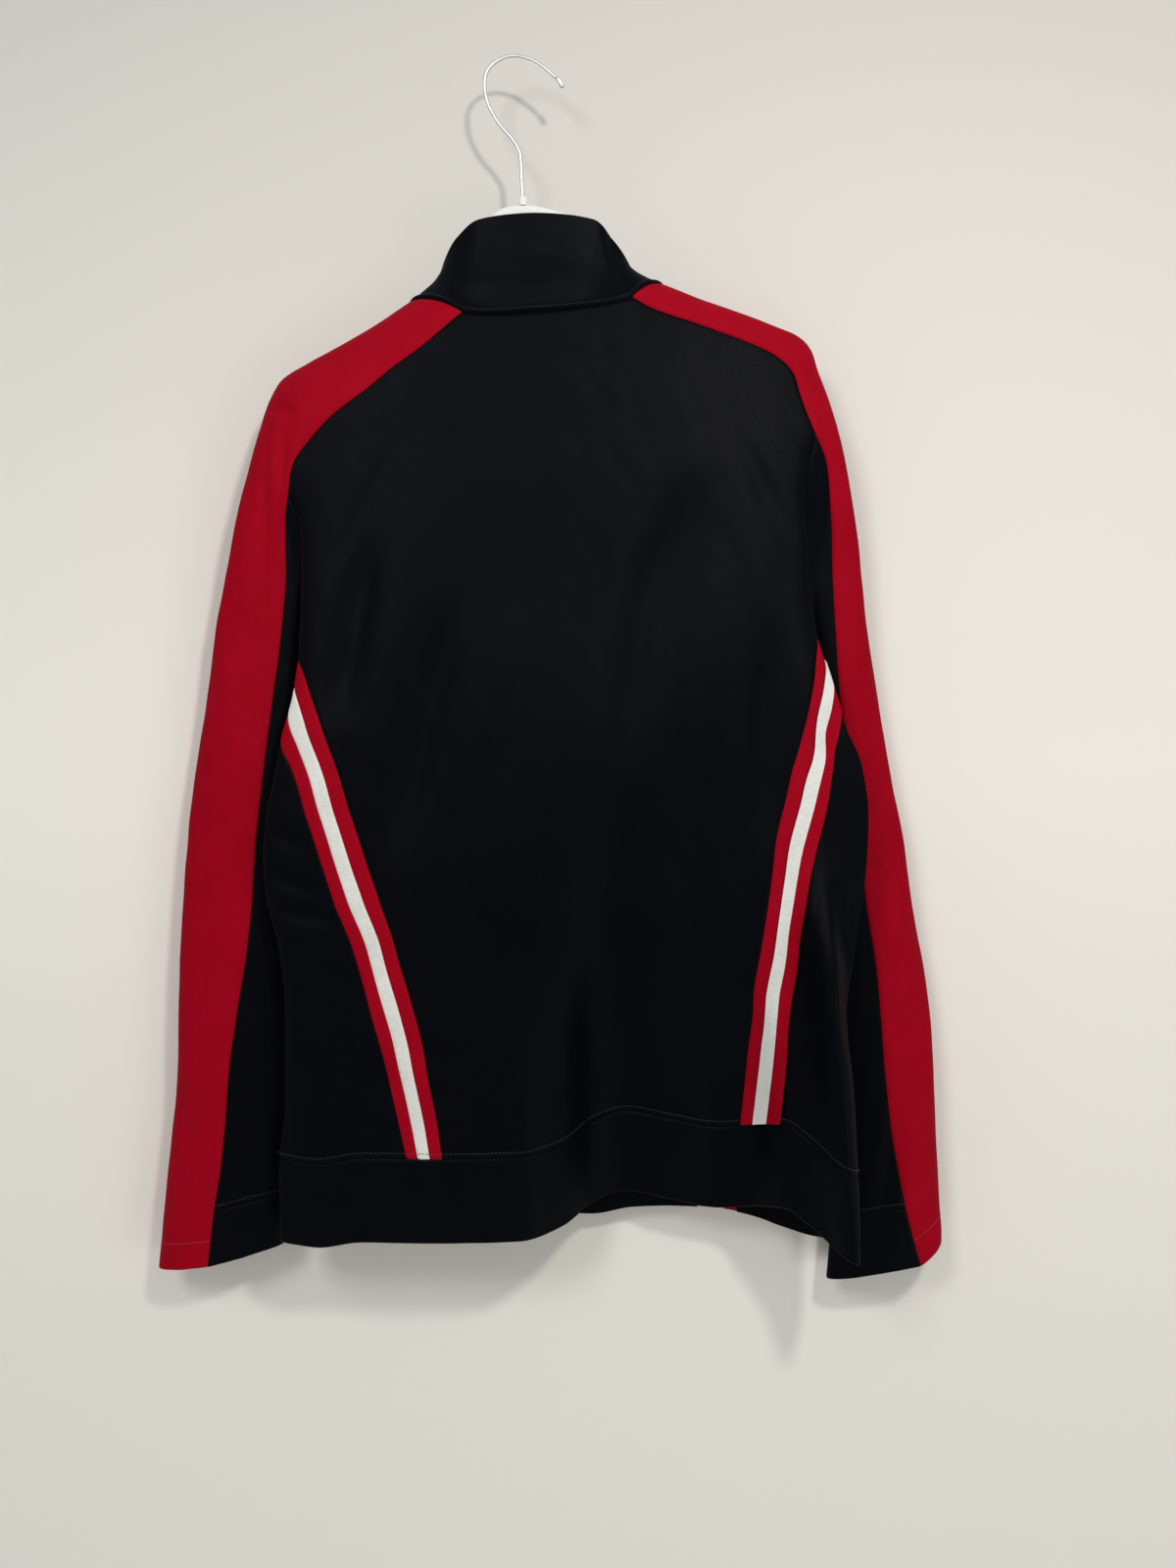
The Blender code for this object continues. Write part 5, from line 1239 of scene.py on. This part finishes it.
def build_pull(pivot, paint):
    """Pull tab: a rounded plate that narrows to its bar, with a window and grip ribs."""
    x, y, z = pivot
    top, low = z + PULL_BAR / 2, z + PULL_BAR / 2 - PULL_LENGTH
    half, thick = PULL_WIDTH / 2, PULL_THICKNESS / 2
    height = PULL_LENGTH / 2
    outline = rounded(x, (top + low) / 2, half, height, PULL_CORNER, top_share=PULL_TOP_SHARE)
    pull = plate_object("zip_pull_tab", outline, y - thick, y + thick, PULL_EDGE)
    hole = rounded(x, z - PULL_BAR / 2 - WINDOW_HALF[1], *WINDOW_HALF, WINDOW_CORNER)
    cut(pull, [plate_object("hole", hole, y - CUTTER_DEPTH, y + CUTTER_DEPTH, CUTTER_EDGE)])
    ribs, reach = [], thick + RIB_RISE
    for k in range(RIBS):
        rib = rounded(x, low + FIRST_RIB + RIB_PITCH * k, *RIB_HALF, RIB_CORNER)
        ribs.append(plate_object("rib", rib, y - reach, y + reach, RIB_EDGE))
    cut(pull, ribs, "UNION")
    finish_piece(pull, paint["zip_metal"], body=PULL, nodes=("zip_pull",))


# ---------------------------------------------------------------- hanger

ARM_DEPTH, ARM_HEIGHT, ARM_CLEARANCE = 9.0, 13.0, 2.4
ARM_TIP_SHARE, ARM_END_SHARE = 0.55, 0.9
HOOK_WIRE, HOOK_TIP_DIAMETER = 3.0, 4.0
# Length of the arm's rounded end and of its taper, and points along each piece and round it
ARM_ROUND, ARM_TAPER = 3, 14
ARM_STATIONS, HOOK_STATIONS, TIP_STATIONS, CAP_STATIONS = 240, 170, 24, 6
ARM_SIDES, WIRE_SIDES = 40, 24
# Length of the rounded end of the wire and of its tip, and the least shares of a squared
# radius that the ends keep
HOOK_CAP, TIP_CAP = 1.2, 1.8
ARM_LEAST, WIRE_LEAST = 0.001, 0.0004
# The way through the hanger, square to the plane of its hook
THROUGH_HANGER = np.array([0.0, 1.0, 0.0])
# Boss: its place, and its outline as height above the hanger and radius
BOSS_X, BOSS_LOW = -1.5, -124.6
BOSS_OUTLINE = np.array([(-1.6, 0.2), (-1.5, 4.3), (-1.2, 4.5), (0.8, 4.4), (1.6, 4.2), (3.6, 4.1),
                         (4.9, 4.05), (5.7, 3.9), (6.1, 3.4), (6.2, 1.8)])


def tube(path, across, radii, sides, flatten=1.0):
    """Points and faces of a tube along a path: rings of the given radii, closed at both ends.

    across is the direction square to the path in which the ring is widened by flatten.
    """
    ahead = unit(np.gradient(path, axis=0))
    up = unit(np.cross(across, ahead))
    turn = np.arange(sides) / sides * 2 * math.pi
    ring = (np.cos(turn)[None, :, None] * up[:, None] * radii[:, None, None]
            + np.sin(turn)[None, :, None] * across[:, None] * radii[:, None, None] * flatten)
    points = (path[:, None] + ring).reshape(-1, 3)
    row = np.arange(len(path) - 1)[:, None] * sides
    k = np.arange(sides)[None]
    faces = np.stack([row + k, row + (k + 1) % sides, row + (k + 1) % sides + sides,
                      row + k + sides], -1).reshape(-1, 4)
    return points, faces


def tube_object(name, path, radii, sides, flatten=1.0):
    """A closed tube as a mesh object; its ends shrink to a point inside the last rings."""
    across = np.broadcast_to(THROUGH_HANGER, path.shape)
    points, faces = tube(path, across, radii, sides, flatten)
    count = len(points)
    points = np.vstack([points, path[0], path[-1]])
    k = np.arange(sides)
    caps = [[count, (a + 1) % sides, a] for a in k]
    caps += [[count + 1, count - sides + a, count - sides + (a + 1) % sides] for a in k]
    return solid_object(name, points, faces.tolist() + caps)


def wire_path(points, count, cap, radius):
    """A smooth path in the hook's plane with dense rings at its ends, and the rings' radii.

    Near each end the radius follows a quarter circle, so the end is a rounded tip.
    """
    line = through(points, np.linspace(0, 1, count))
    line = np.stack([line[:, 0], np.zeros(count), line[:, 1]], -1)
    length = along(line)[-1]
    steps = cap * (1 - np.cos(np.linspace(0, math.pi / 2, CAP_STATIONS)))
    at = np.concatenate([steps, np.linspace(cap, length - cap, count)[1:-1],
                         length - steps[::-1]])
    inside = np.minimum(at, length - at)
    radii = radius * np.sqrt(np.clip(1 - (1 - np.minimum(inside / cap, 1)) ** 2, WIRE_LEAST, 1))
    return at_lengths(line, at), radii


def build_hanger(paint):
    """Hanger body, the boss that holds the hook, the wire and its tip.

    The body is an oval tube below the shoulder ridges and the neck line, with rounded ends.
    """
    line = []
    for side, order in (("left", -1), ("right", 1)):
        rows = SHOULDERS[side][1:5, 2:4]
        ridge = np.stack([rows[:, 0], rows[:, 1] - ARM_CLEARANCE], -1)
        ridge[-1] = ridge[-2] + (ridge[-1] - ridge[-2]) * ARM_END_SHARE
        line.append(ridge[::order])
    top = through(np.vstack([line[0], HANGER_NECK, line[1]]),
                  np.linspace(0, 1, ARM_STATIONS))
    ahead = unit(np.gradient(top, axis=0))
    normal = np.stack([-ahead[:, 1], ahead[:, 0]], -1)
    normal *= np.sign(normal[:, 1:2])
    centre = top - normal * ARM_HEIGHT / 2
    path = np.stack([centre[:, 0], np.zeros(len(centre)), centre[:, 1]], -1)
    near = np.minimum(along(path), along(path)[-1] - along(path))
    size = ARM_TIP_SHARE + (1 - ARM_TIP_SHARE) * ease(near, 0, ARM_TAPER)
    size *= np.sqrt(np.clip(1 - (1 - np.minimum(near / ARM_ROUND, 1)) ** 2, ARM_LEAST, 1))
    bar = tube_object("hanger_bar", path, ARM_HEIGHT / 2 * size, ARM_SIDES,
                      flatten=ARM_DEPTH / ARM_HEIGHT)
    finish_piece(bar, paint["plastic"], nodes=("hanger_body",))

    heights, radii = BOSS_OUTLINE.T
    path = np.stack([heights * 0 + BOSS_X, heights * 0, BOSS_LOW + heights], -1)
    boss = tube_object("hanger_collar", path, radii, ARM_SIDES)
    finish_piece(boss, paint["plastic"], nodes=("hanger_boss",))

    path, radii = wire_path(HOOK_PATH, HOOK_STATIONS, HOOK_CAP, HOOK_WIRE / 2)
    wire = tube_object("hook_wire", path, radii, WIRE_SIDES)
    finish_piece(wire, paint["wire"], nodes=("hanger_hook",))
    path, radii = wire_path(HOOK_TIP_PATH, TIP_STATIONS, TIP_CAP, HOOK_TIP_DIAMETER / 2)
    tip = tube_object("hook_tip", path, radii, WIRE_SIDES)
    finish_piece(tip, paint["clear"], nodes=("hanger_hook_tip",))


# ---------------------------------------------------------------- finishes

def new_group(name, inputs, outputs):
    """A shader node group with named inputs and outputs."""
    group = bpy.data.node_groups.new(name, "ShaderNodeTree")
    for label, kind, value in inputs:
        socket = group.interface.new_socket(label, in_out="INPUT", socket_type=kind)
        if value is not None:
            socket.default_value = value
    for label, kind in outputs:
        group.interface.new_socket(label, in_out="OUTPUT", socket_type=kind)
    return group, group.nodes.new("NodeGroupInput"), group.nodes.new("NodeGroupOutput")


def add_node(tree, kind, links=(), **settings):
    """A node with its settings, its inputs linked or set from (input, socket or value)."""
    node = tree.nodes.new(kind)
    for name, value in settings.items():
        setattr(node, name, value)
    for key, value in links:
        if isinstance(value, bpy.types.NodeSocket):
            tree.links.new(value, node.inputs[key])
        else:
            node.inputs[key].default_value = value
    return node


def math_node(tree, operation, a, b=0.0):
    """The output of one maths node."""
    return add_node(tree, "ShaderNodeMath", ((0, a), (1, b)), operation=operation).outputs[0]


# Slant of a knit's loops, and the weave's share of its height
LOOP_SLANT, WEAVE_SHARE = 0.8, 0.35


def knit_group():
    """Brushed warp knit: ribs of loops along the cloth, a fuzz of short fibres, and its nap.

    Height is the sine of the rib across the cloth, broken by a slanting sine along it, plus
    fine noise. Shade goes from 0 to 1 with a broad noise, where the nap lies differently,
    and Nap with a finer one.
    """
    group, source, result = new_group(
        "brushed_knit",
        (("Cloth", "NodeSocketVector", None), ("Place", "NodeSocketVector", None),
         ("Rib", "NodeSocketFloat", 1250.0), ("Fuzz", "NodeSocketFloat", 0.5)),
        (("Height", "NodeSocketFloat"), ("Shade", "NodeSocketFloat"),
         ("Nap", "NodeSocketFloat")))
    cloth = add_node(group, "ShaderNodeSeparateXYZ", ((0, source.outputs["Cloth"]),))
    turn = math_node(group, "MULTIPLY", source.outputs["Rib"], 2 * math.pi)
    rib = math_node(group, "SINE", math_node(group, "MULTIPLY", cloth.outputs[0], turn))
    steep = math_node(group, "MULTIPLY", turn, LOOP_SLANT)
    slant = math_node(group, "MULTIPLY", cloth.outputs[1], steep)
    loops = math_node(group, "SINE", math_node(group, "ADD", slant, rib))
    fuzz = add_node(group, "ShaderNodeTexNoise", (("Vector", source.outputs["Place"]),
                                                  ("Scale", 1700.0), ("Detail", 3.0)))
    weave = math_node(group, "MULTIPLY", math_node(group, "MULTIPLY", rib, loops), WEAVE_SHARE)
    fibres = math_node(group, "MULTIPLY", fuzz.outputs["Fac"], source.outputs["Fuzz"])
    group.links.new(math_node(group, "ADD", weave, fibres), result.inputs["Height"])
    broad = add_node(group, "ShaderNodeTexNoise", (("Vector", source.outputs["Place"]),
                                                   ("Scale", 26.0), ("Detail", 5.0),
                                                   ("Roughness", 0.62)))
    fine = add_node(group, "ShaderNodeTexNoise", (("Vector", source.outputs["Place"]),
                                                  ("Scale", 420.0), ("Detail", 2.0)))
    group.links.new(broad.outputs["Fac"], result.inputs["Shade"])
    group.links.new(fine.outputs["Fac"], result.inputs["Nap"])
    return group


def new_material(name):
    """A material with a Principled shader, its tree and the shader."""
    made = bpy.data.materials.new(name)
    made.use_nodes = True
    return made, made.node_tree, made.node_tree.nodes["Principled BSDF"]


# Shares of the broad and the fine nap in a cloth's colour, and the range of their sum that
# runs from dark to light; how far the nap changes the roughness
NAP_SHARES, NAP_RANGE, NAP_ROUGHNESS = (0.55, 0.45), (0.32, 0.68), 0.08
# A hard piece's cloud: how far it changes the roughness, its scale and its two shades
CLOUD_ROUGHNESS, CLOUD_SCALE, CLOUD_SHADES = 0.06, 260.0, (0.92, 1.06)
# A thread's roughness and the two shades of its plies
THREAD_ROUGHNESS, PLY_SHADES = 0.6, (0.8, 1.15)


def cloth_finish(name, knit, dark, light, sheen, tint, gloss=0.06, roughness=0.62, rib=1250.0,
                 fuzz=0.5, bump=0.12):
    """A knitted cloth: its colour between dark and light with the nap, sheen and knit bump."""
    made, tree, shader = new_material(name)
    places = add_node(tree, "ShaderNodeTexCoord")
    surface = add_node(tree, "ShaderNodeGroup", node_tree=knit)
    tree.links.new(places.outputs["UV"], surface.inputs["Cloth"])
    tree.links.new(places.outputs["Object"], surface.inputs["Place"])
    surface.inputs["Rib"].default_value = rib
    surface.inputs["Fuzz"].default_value = fuzz
    patch = math_node(tree, "MULTIPLY", surface.outputs["Shade"], NAP_SHARES[0])
    speck = math_node(tree, "MULTIPLY", surface.outputs["Nap"], NAP_SHARES[1])
    share = add_node(tree, "ShaderNodeMapRange",
                     (("Value", math_node(tree, "ADD", patch, speck)),
                      ("From Min", NAP_RANGE[0]), ("From Max", NAP_RANGE[1])))
    colour = add_node(tree, "ShaderNodeMix", ((0, share.outputs[0]), (6, (*dark, 1)),
                                              (7, (*light, 1))), data_type="RGBA")
    tree.links.new(colour.outputs[2], shader.inputs["Base Color"])
    rough = add_node(tree, "ShaderNodeMapRange",
                     (("Value", surface.outputs["Nap"]), ("To Min", roughness - NAP_ROUGHNESS),
                      ("To Max", roughness + NAP_ROUGHNESS)))
    tree.links.new(rough.outputs[0], shader.inputs["Roughness"])
    relief_node = add_node(tree, "ShaderNodeBump", (("Height", surface.outputs["Height"]),
                                                    ("Strength", bump), ("Distance", 0.0006)))
    tree.links.new(relief_node.outputs[0], shader.inputs["Normal"])
    shader.inputs["Sheen Weight"].default_value = sheen
    shader.inputs["Sheen Roughness"].default_value = 0.45
    shader.inputs["Sheen Tint"].default_value = (*tint, 1)
    shader.inputs["Specular IOR Level"].default_value = gloss
    return made


def thread_finish(name, colour):
    """Polyester sewing thread: plies that wind round it, as a fast slanting wave."""
    made, tree, shader = new_material(name)
    places = add_node(tree, "ShaderNodeTexCoord")
    plies = add_node(tree, "ShaderNodeTexWave", (("Vector", places.outputs["Object"]),
                                                 ("Scale", 900.0), ("Distortion", 2.0)),
                     bands_direction="DIAGONAL")
    shade = add_node(tree, "ShaderNodeMix", ((0, plies.outputs["Fac"]),
                                             (6, (*(c * PLY_SHADES[0] for c in colour), 1)),
                                             (7, (*(c * PLY_SHADES[1] for c in colour), 1))),
                     data_type="RGBA")
    tree.links.new(shade.outputs[2], shader.inputs["Base Color"])
    shader.inputs["Roughness"].default_value = THREAD_ROUGHNESS
    shader.inputs["Sheen Weight"].default_value = 0.3
    return made


def hard_finish(name, colour, roughness, metallic=0.0, coat=0.0, bump=0.03, transmission=0.0):
    """A hard finish: one colour with a fine cloud in it, uneven gloss and a faint grain."""
    made, tree, shader = new_material(name)
    places = add_node(tree, "ShaderNodeTexCoord")
    cloud = add_node(tree, "ShaderNodeTexNoise", (("Vector", places.outputs["Object"]),
                                                  ("Scale", CLOUD_SCALE), ("Detail", 6.0)))
    rough = add_node(tree, "ShaderNodeMapRange",
                     (("Value", cloud.outputs["Fac"]), ("From Min", 0.3), ("From Max", 0.7),
                      ("To Min", roughness - CLOUD_ROUGHNESS),
                      ("To Max", roughness + CLOUD_ROUGHNESS)))
    tree.links.new(rough.outputs[0], shader.inputs["Roughness"])
    dark, light = ([min(c * share, 1) for c in colour] for share in CLOUD_SHADES)
    shade = add_node(tree, "ShaderNodeMix", ((0, cloud.outputs["Fac"]), (6, (*dark, 1)),
                                             (7, (*light, 1))), data_type="RGBA")
    tree.links.new(shade.outputs[2], shader.inputs["Base Color"])
    grain = add_node(tree, "ShaderNodeBump", (("Height", cloud.outputs["Fac"]),
                                              ("Strength", bump), ("Distance", 0.0004)))
    tree.links.new(grain.outputs[0], shader.inputs["Normal"])
    shader.inputs["Metallic"].default_value = metallic
    shader.inputs["Coat Weight"].default_value = coat
    shader.inputs["Transmission Weight"].default_value = transmission
    return made


def finishes():
    """Every finish of the jacket and its hanger, by a maker's name."""
    knit = knit_group()
    red = ((0.270, 0.0004, 0.0070), (0.330, 0.0008, 0.0110))
    white = ((0.600, 0.590, 0.540), (0.740, 0.730, 0.680))
    return {
        "black": cloth_finish("black_tricot", knit, (0.0003, 0.0005, 0.0014),
                              (0.0008, 0.0011, 0.0024), 0.006, (0.50, 0.62, 0.90), 0.050,
                              0.49),
        "red": cloth_finish("red_tricot", knit, *red, 0.01, (1.0, 0.30, 0.35), 0.035),
        "tape_red_fabric": cloth_finish("red_tape", knit, *red, 0.01, (1.0, 0.30, 0.35), 0.035,
                                        rib=1000.0, bump=0.16),
        "tape_white_fabric": cloth_finish("white_tape", knit, *white, 0.08, (1, 1, 1), 0.2,
                                          rib=1000.0, bump=0.16),
        "zip_tape": cloth_finish("black_zip_tape", knit, (0.0060, 0.0065, 0.0090),
                                 (0.0100, 0.0108, 0.0140), 0.05, (0.6, 0.65, 0.8), 0.1,
                                 rib=700.0, fuzz=0.2, bump=0.3),
        "black_thread": thread_finish("black_thread", (0.011, 0.012, 0.016)),
        "red_thread": thread_finish("red_thread", (0.46, 0.006, 0.022)),
        "zip_teeth": hard_finish("black_moulded_teeth", (0.016, 0.017, 0.020), 0.34),
        "zip_metal": hard_finish("dark_coated_zinc", (0.07, 0.07, 0.075), 0.30, metallic=1.0),
        "plastic": hard_finish("white_moulded_plastic", (0.78, 0.78, 0.74), 0.30, coat=0.1),
        "wire": hard_finish("plated_wire", (0.72, 0.70, 0.65), 0.42, metallic=0.8),
        "clear": hard_finish("clear_plastic_tip", (0.80, 0.80, 0.76), 0.25,
                             transmission=0.7, bump=0.0),
    }


# ---------------------------------------------------------------- topstitching

# Distance of each row from its seam, and how high its threads lie on the cloth
HEM_STITCH, NECK_STITCH, ZIP_STITCH, RED_HEM = 4.6, 4.4, 5.2, 22.0
SEAM_THREAD, NECK_THREAD, TAPE_THREAD = 0.45, 0.9, 0.7
RED_THREAD, BAND_THREAD, FLAT_THREAD = 0.3, 0.3, 0.1


def build_stitches(built, paint):
    """Every visible row of topstitches, each on the cloth it is sewn through."""
    for name, cloth, edge, inset, lift in built:
        colour = "red" if name.startswith("red") else "black"
        line, up = inset_line(cloth, edge, inset)
        stitch_row("stitches_" + name, line, up, paint[colour + "_thread"],
                   lift)


# ---------------------------------------------------------------- stage

# Wall and floor: their places, the wall's colour low down and at its top, where it is darkened
# as painted shade, and the heights between which the painted shade fades in
WALL_Y, FLOOR_Z, STAGE_SIZE, WALL_HEIGHT = -0.0355, -1.75, 3, 2
WALL_LOW, WALL_TOP_PAINTED_SHADE = (0.80, 0.765, 0.695, 1), (0.53, 0.505, 0.46, 1)
WALL_PAINTED_SHADE_FADE = (-0.6, 0.1)
FLOOR_COLOUR = (0.80, 0.79, 0.77, 1)
STAGE_ROUGHNESS = 0.9
# Camera and lights: place, size, power and colour of each light, which all face LIT_PLACE
CAMERA_PLACE = (-0.0566, 1.0, -0.6157)
CAMERA_LENS, CAMERA_SENSOR, CAMERA_WIDTH = 27.05, 36.0, 27.0
LIT_PLACE = (-0.05, 0.0, -0.65)
LIGHTS = {
    "main_light": ((-0.62, 1.25, 0.38), 0.16, 12.5, (1.0, 0.985, 0.96)),
    "side_light": ((0.9, 1.8, 0.55), 0.6, 17, (0.97, 0.985, 1.0)),
    "low_light": ((-1.8, 1.6, -1.3), 0.7, 6, (1.0, 0.99, 0.97)),
    "front_light": ((0.4, -2.4, 0.4), 1.4, 30, (1, 1, 1)),
}
EVEN_LIGHT, EVEN_COLOUR = 0.41, (0.93, 0.96, 1.0, 1)


def build_stage():
    """Pale wall behind the jacket, seen from its front side only, and a pale floor.

    The wall's top is darkened with painted shade.
    """
    wall, tree, shader = new_material("pale_wall_painted_shade")
    place = add_node(tree, "ShaderNodeTexCoord")
    height = add_node(tree, "ShaderNodeSeparateXYZ", ((0, place.outputs["Object"]),))
    share = add_node(tree, "ShaderNodeMapRange", (("Value", height.outputs["Z"]),
                                                  ("From Min", WALL_PAINTED_SHADE_FADE[0]),
                                                  ("From Max", WALL_PAINTED_SHADE_FADE[1])))
    # Painted shade: the wall's colour darkens towards its top
    colour = add_node(tree, "ShaderNodeMix", ((0, share.outputs[0]), (6, WALL_LOW),
                                              (7, WALL_TOP_PAINTED_SHADE)), data_type="RGBA")
    tree.links.new(colour.outputs[2], shader.inputs["Base Color"])
    shader.inputs["Roughness"].default_value = STAGE_ROUGHNESS
    shader.inputs["Specular IOR Level"].default_value = 0.1
    clear = add_node(tree, "ShaderNodeBsdfTransparent")
    behind = add_node(tree, "ShaderNodeNewGeometry")
    mix = add_node(tree, "ShaderNodeMixShader", ((0, behind.outputs["Backfacing"]),
                                                 (1, shader.outputs[0]), (2, clear.outputs[0])))
    tree.links.new(mix.outputs[0], tree.nodes["Material Output"].inputs[0])
    floor, _, shader = new_material("pale_floor")
    shader.inputs["Base Color"].default_value = FLOOR_COLOUR
    shader.inputs["Roughness"].default_value = STAGE_ROUGHNESS
    far = STAGE_SIZE
    corners = {"backdrop_wall": ([(-far, WALL_Y, WALL_HEIGHT), (far, WALL_Y, WALL_HEIGHT),
                                  (far, WALL_Y, FLOOR_Z), (-far, WALL_Y, FLOOR_Z)], wall),
               "backdrop_floor": ([(-far, -far, FLOOR_Z), (far, -far, FLOOR_Z),
                                   (far, far, FLOOR_Z), (-far, far, FLOOR_Z)], floor)}
    for name, (points, finish) in corners.items():
        mesh = bpy.data.meshes.new(name)
        mesh.from_pydata(points, [], [(0, 1, 2, 3)])
        made = bpy.data.objects.new(name, mesh)
        made.data.materials.append(finish)
        bpy.context.scene.collection.objects.link(made)
        if name == "backdrop_wall":
            made.visible_shadow = made.visible_diffuse = made.visible_glossy = False
            made.visible_transmission = False


def area_light(name, place, size, power, colour):
    """A square area light that faces the lit place."""
    data = bpy.data.lights.new(name, "AREA")
    data.size, data.energy, data.color = size, power, colour
    made = bpy.data.objects.new(name, data)
    made.location = place
    made.rotation_euler = (Vector(LIT_PLACE) - Vector(place)).to_track_quat("-Z", "Y").to_euler()
    bpy.context.scene.collection.objects.link(made)


def build_studio():
    """Camera at the photograph's place, soft lights on both sides, and even light all round."""
    data = bpy.data.cameras.new("photo_camera")
    data.sensor_fit = "VERTICAL"
    data.sensor_height, data.sensor_width = CAMERA_SENSOR, CAMERA_WIDTH
    data.lens = CAMERA_LENS
    camera = bpy.data.objects.new("photo_camera", data)
    camera.location = CAMERA_PLACE
    camera.rotation_euler = (math.radians(90), 0, math.radians(180))
    bpy.context.scene.collection.objects.link(camera)
    bpy.context.scene.camera = camera
    for name, (place, size, power, colour) in LIGHTS.items():
        area_light(name, place, size, power, colour)
    world = bpy.data.worlds.new("even_light")
    world.use_nodes = True
    world.node_tree.nodes["Background"].inputs[0].default_value = EVEN_COLOUR
    world.node_tree.nodes["Background"].inputs[1].default_value = EVEN_LIGHT
    bpy.context.scene.world = world
    bpy.context.scene.view_settings.view_transform = "Standard"


# ---------------------------------------------------------------- the jacket on its hanger

def main():
    """Builds the stage, then the cloth pieces, the zip, the hanger and the topstitches."""
    paint = finishes()
    build_studio()
    build_stage()
    cloths, places = body_cloths()
    reds, unders = sleeve_cloths(cloths)
    collar = collar_cloth(cloths, reds)
    edges = build_tapes(paint)
    sides = build_side_panels(edges, paint)
    bands = build_hem(places, edges, sides, paint)
    build_panels(cloths, reds, unders, collar, paint)
    pivot = build_slider(build_zip(cloths, bands, collar, paint), paint)
    build_pull(pivot, paint)
    build_hanger(paint)
    stitched = [("neck", collar, "start", NECK_STITCH, NECK_THREAD),
                ("back_hem", cloths["back"], "start", HEM_STITCH, SEAM_THREAD)]
    for side in SIGN:
        arm = unders[side].part(slice(0, SLEEVE_ROWS + 1))
        for front, inset in ((False, HEM_STITCH), (True, HEM_SEAM - HEM + HEM_STITCH)):
            name = f"{'front' if front else 'back'}_tape_{side}"
            cloth = tape_cloth(edges[side, front], front)
            stitched.append((name, cloth, "start", inset, TAPE_THREAD))
        panel, band = body_cloth(sides[side][:-1]), bands["hem_band_front_" + side]
        stitched += [("front_hem_" + side, cloths[side], "start", HEM_STITCH, SEAM_THREAD),
                     ("side_hem_" + side, panel, "start", HEM_STITCH, SEAM_THREAD),
                     ("cuff_" + side, arm, "end", HEM_STITCH, SEAM_THREAD),
                     ("red_cuff_" + side, reds[side], "end", RED_HEM, RED_THREAD),
                     ("zip_" + side, cloths[side], "right", ZIP_STITCH, FLAT_THREAD),
                     ("band_zip_" + side, band, "right", ZIP_STITCH, BAND_THREAD),
                     ("collar_zip_" + side, collar, side, ZIP_STITCH, BAND_THREAD)]
    build_stitches(stitched, paint)


main()
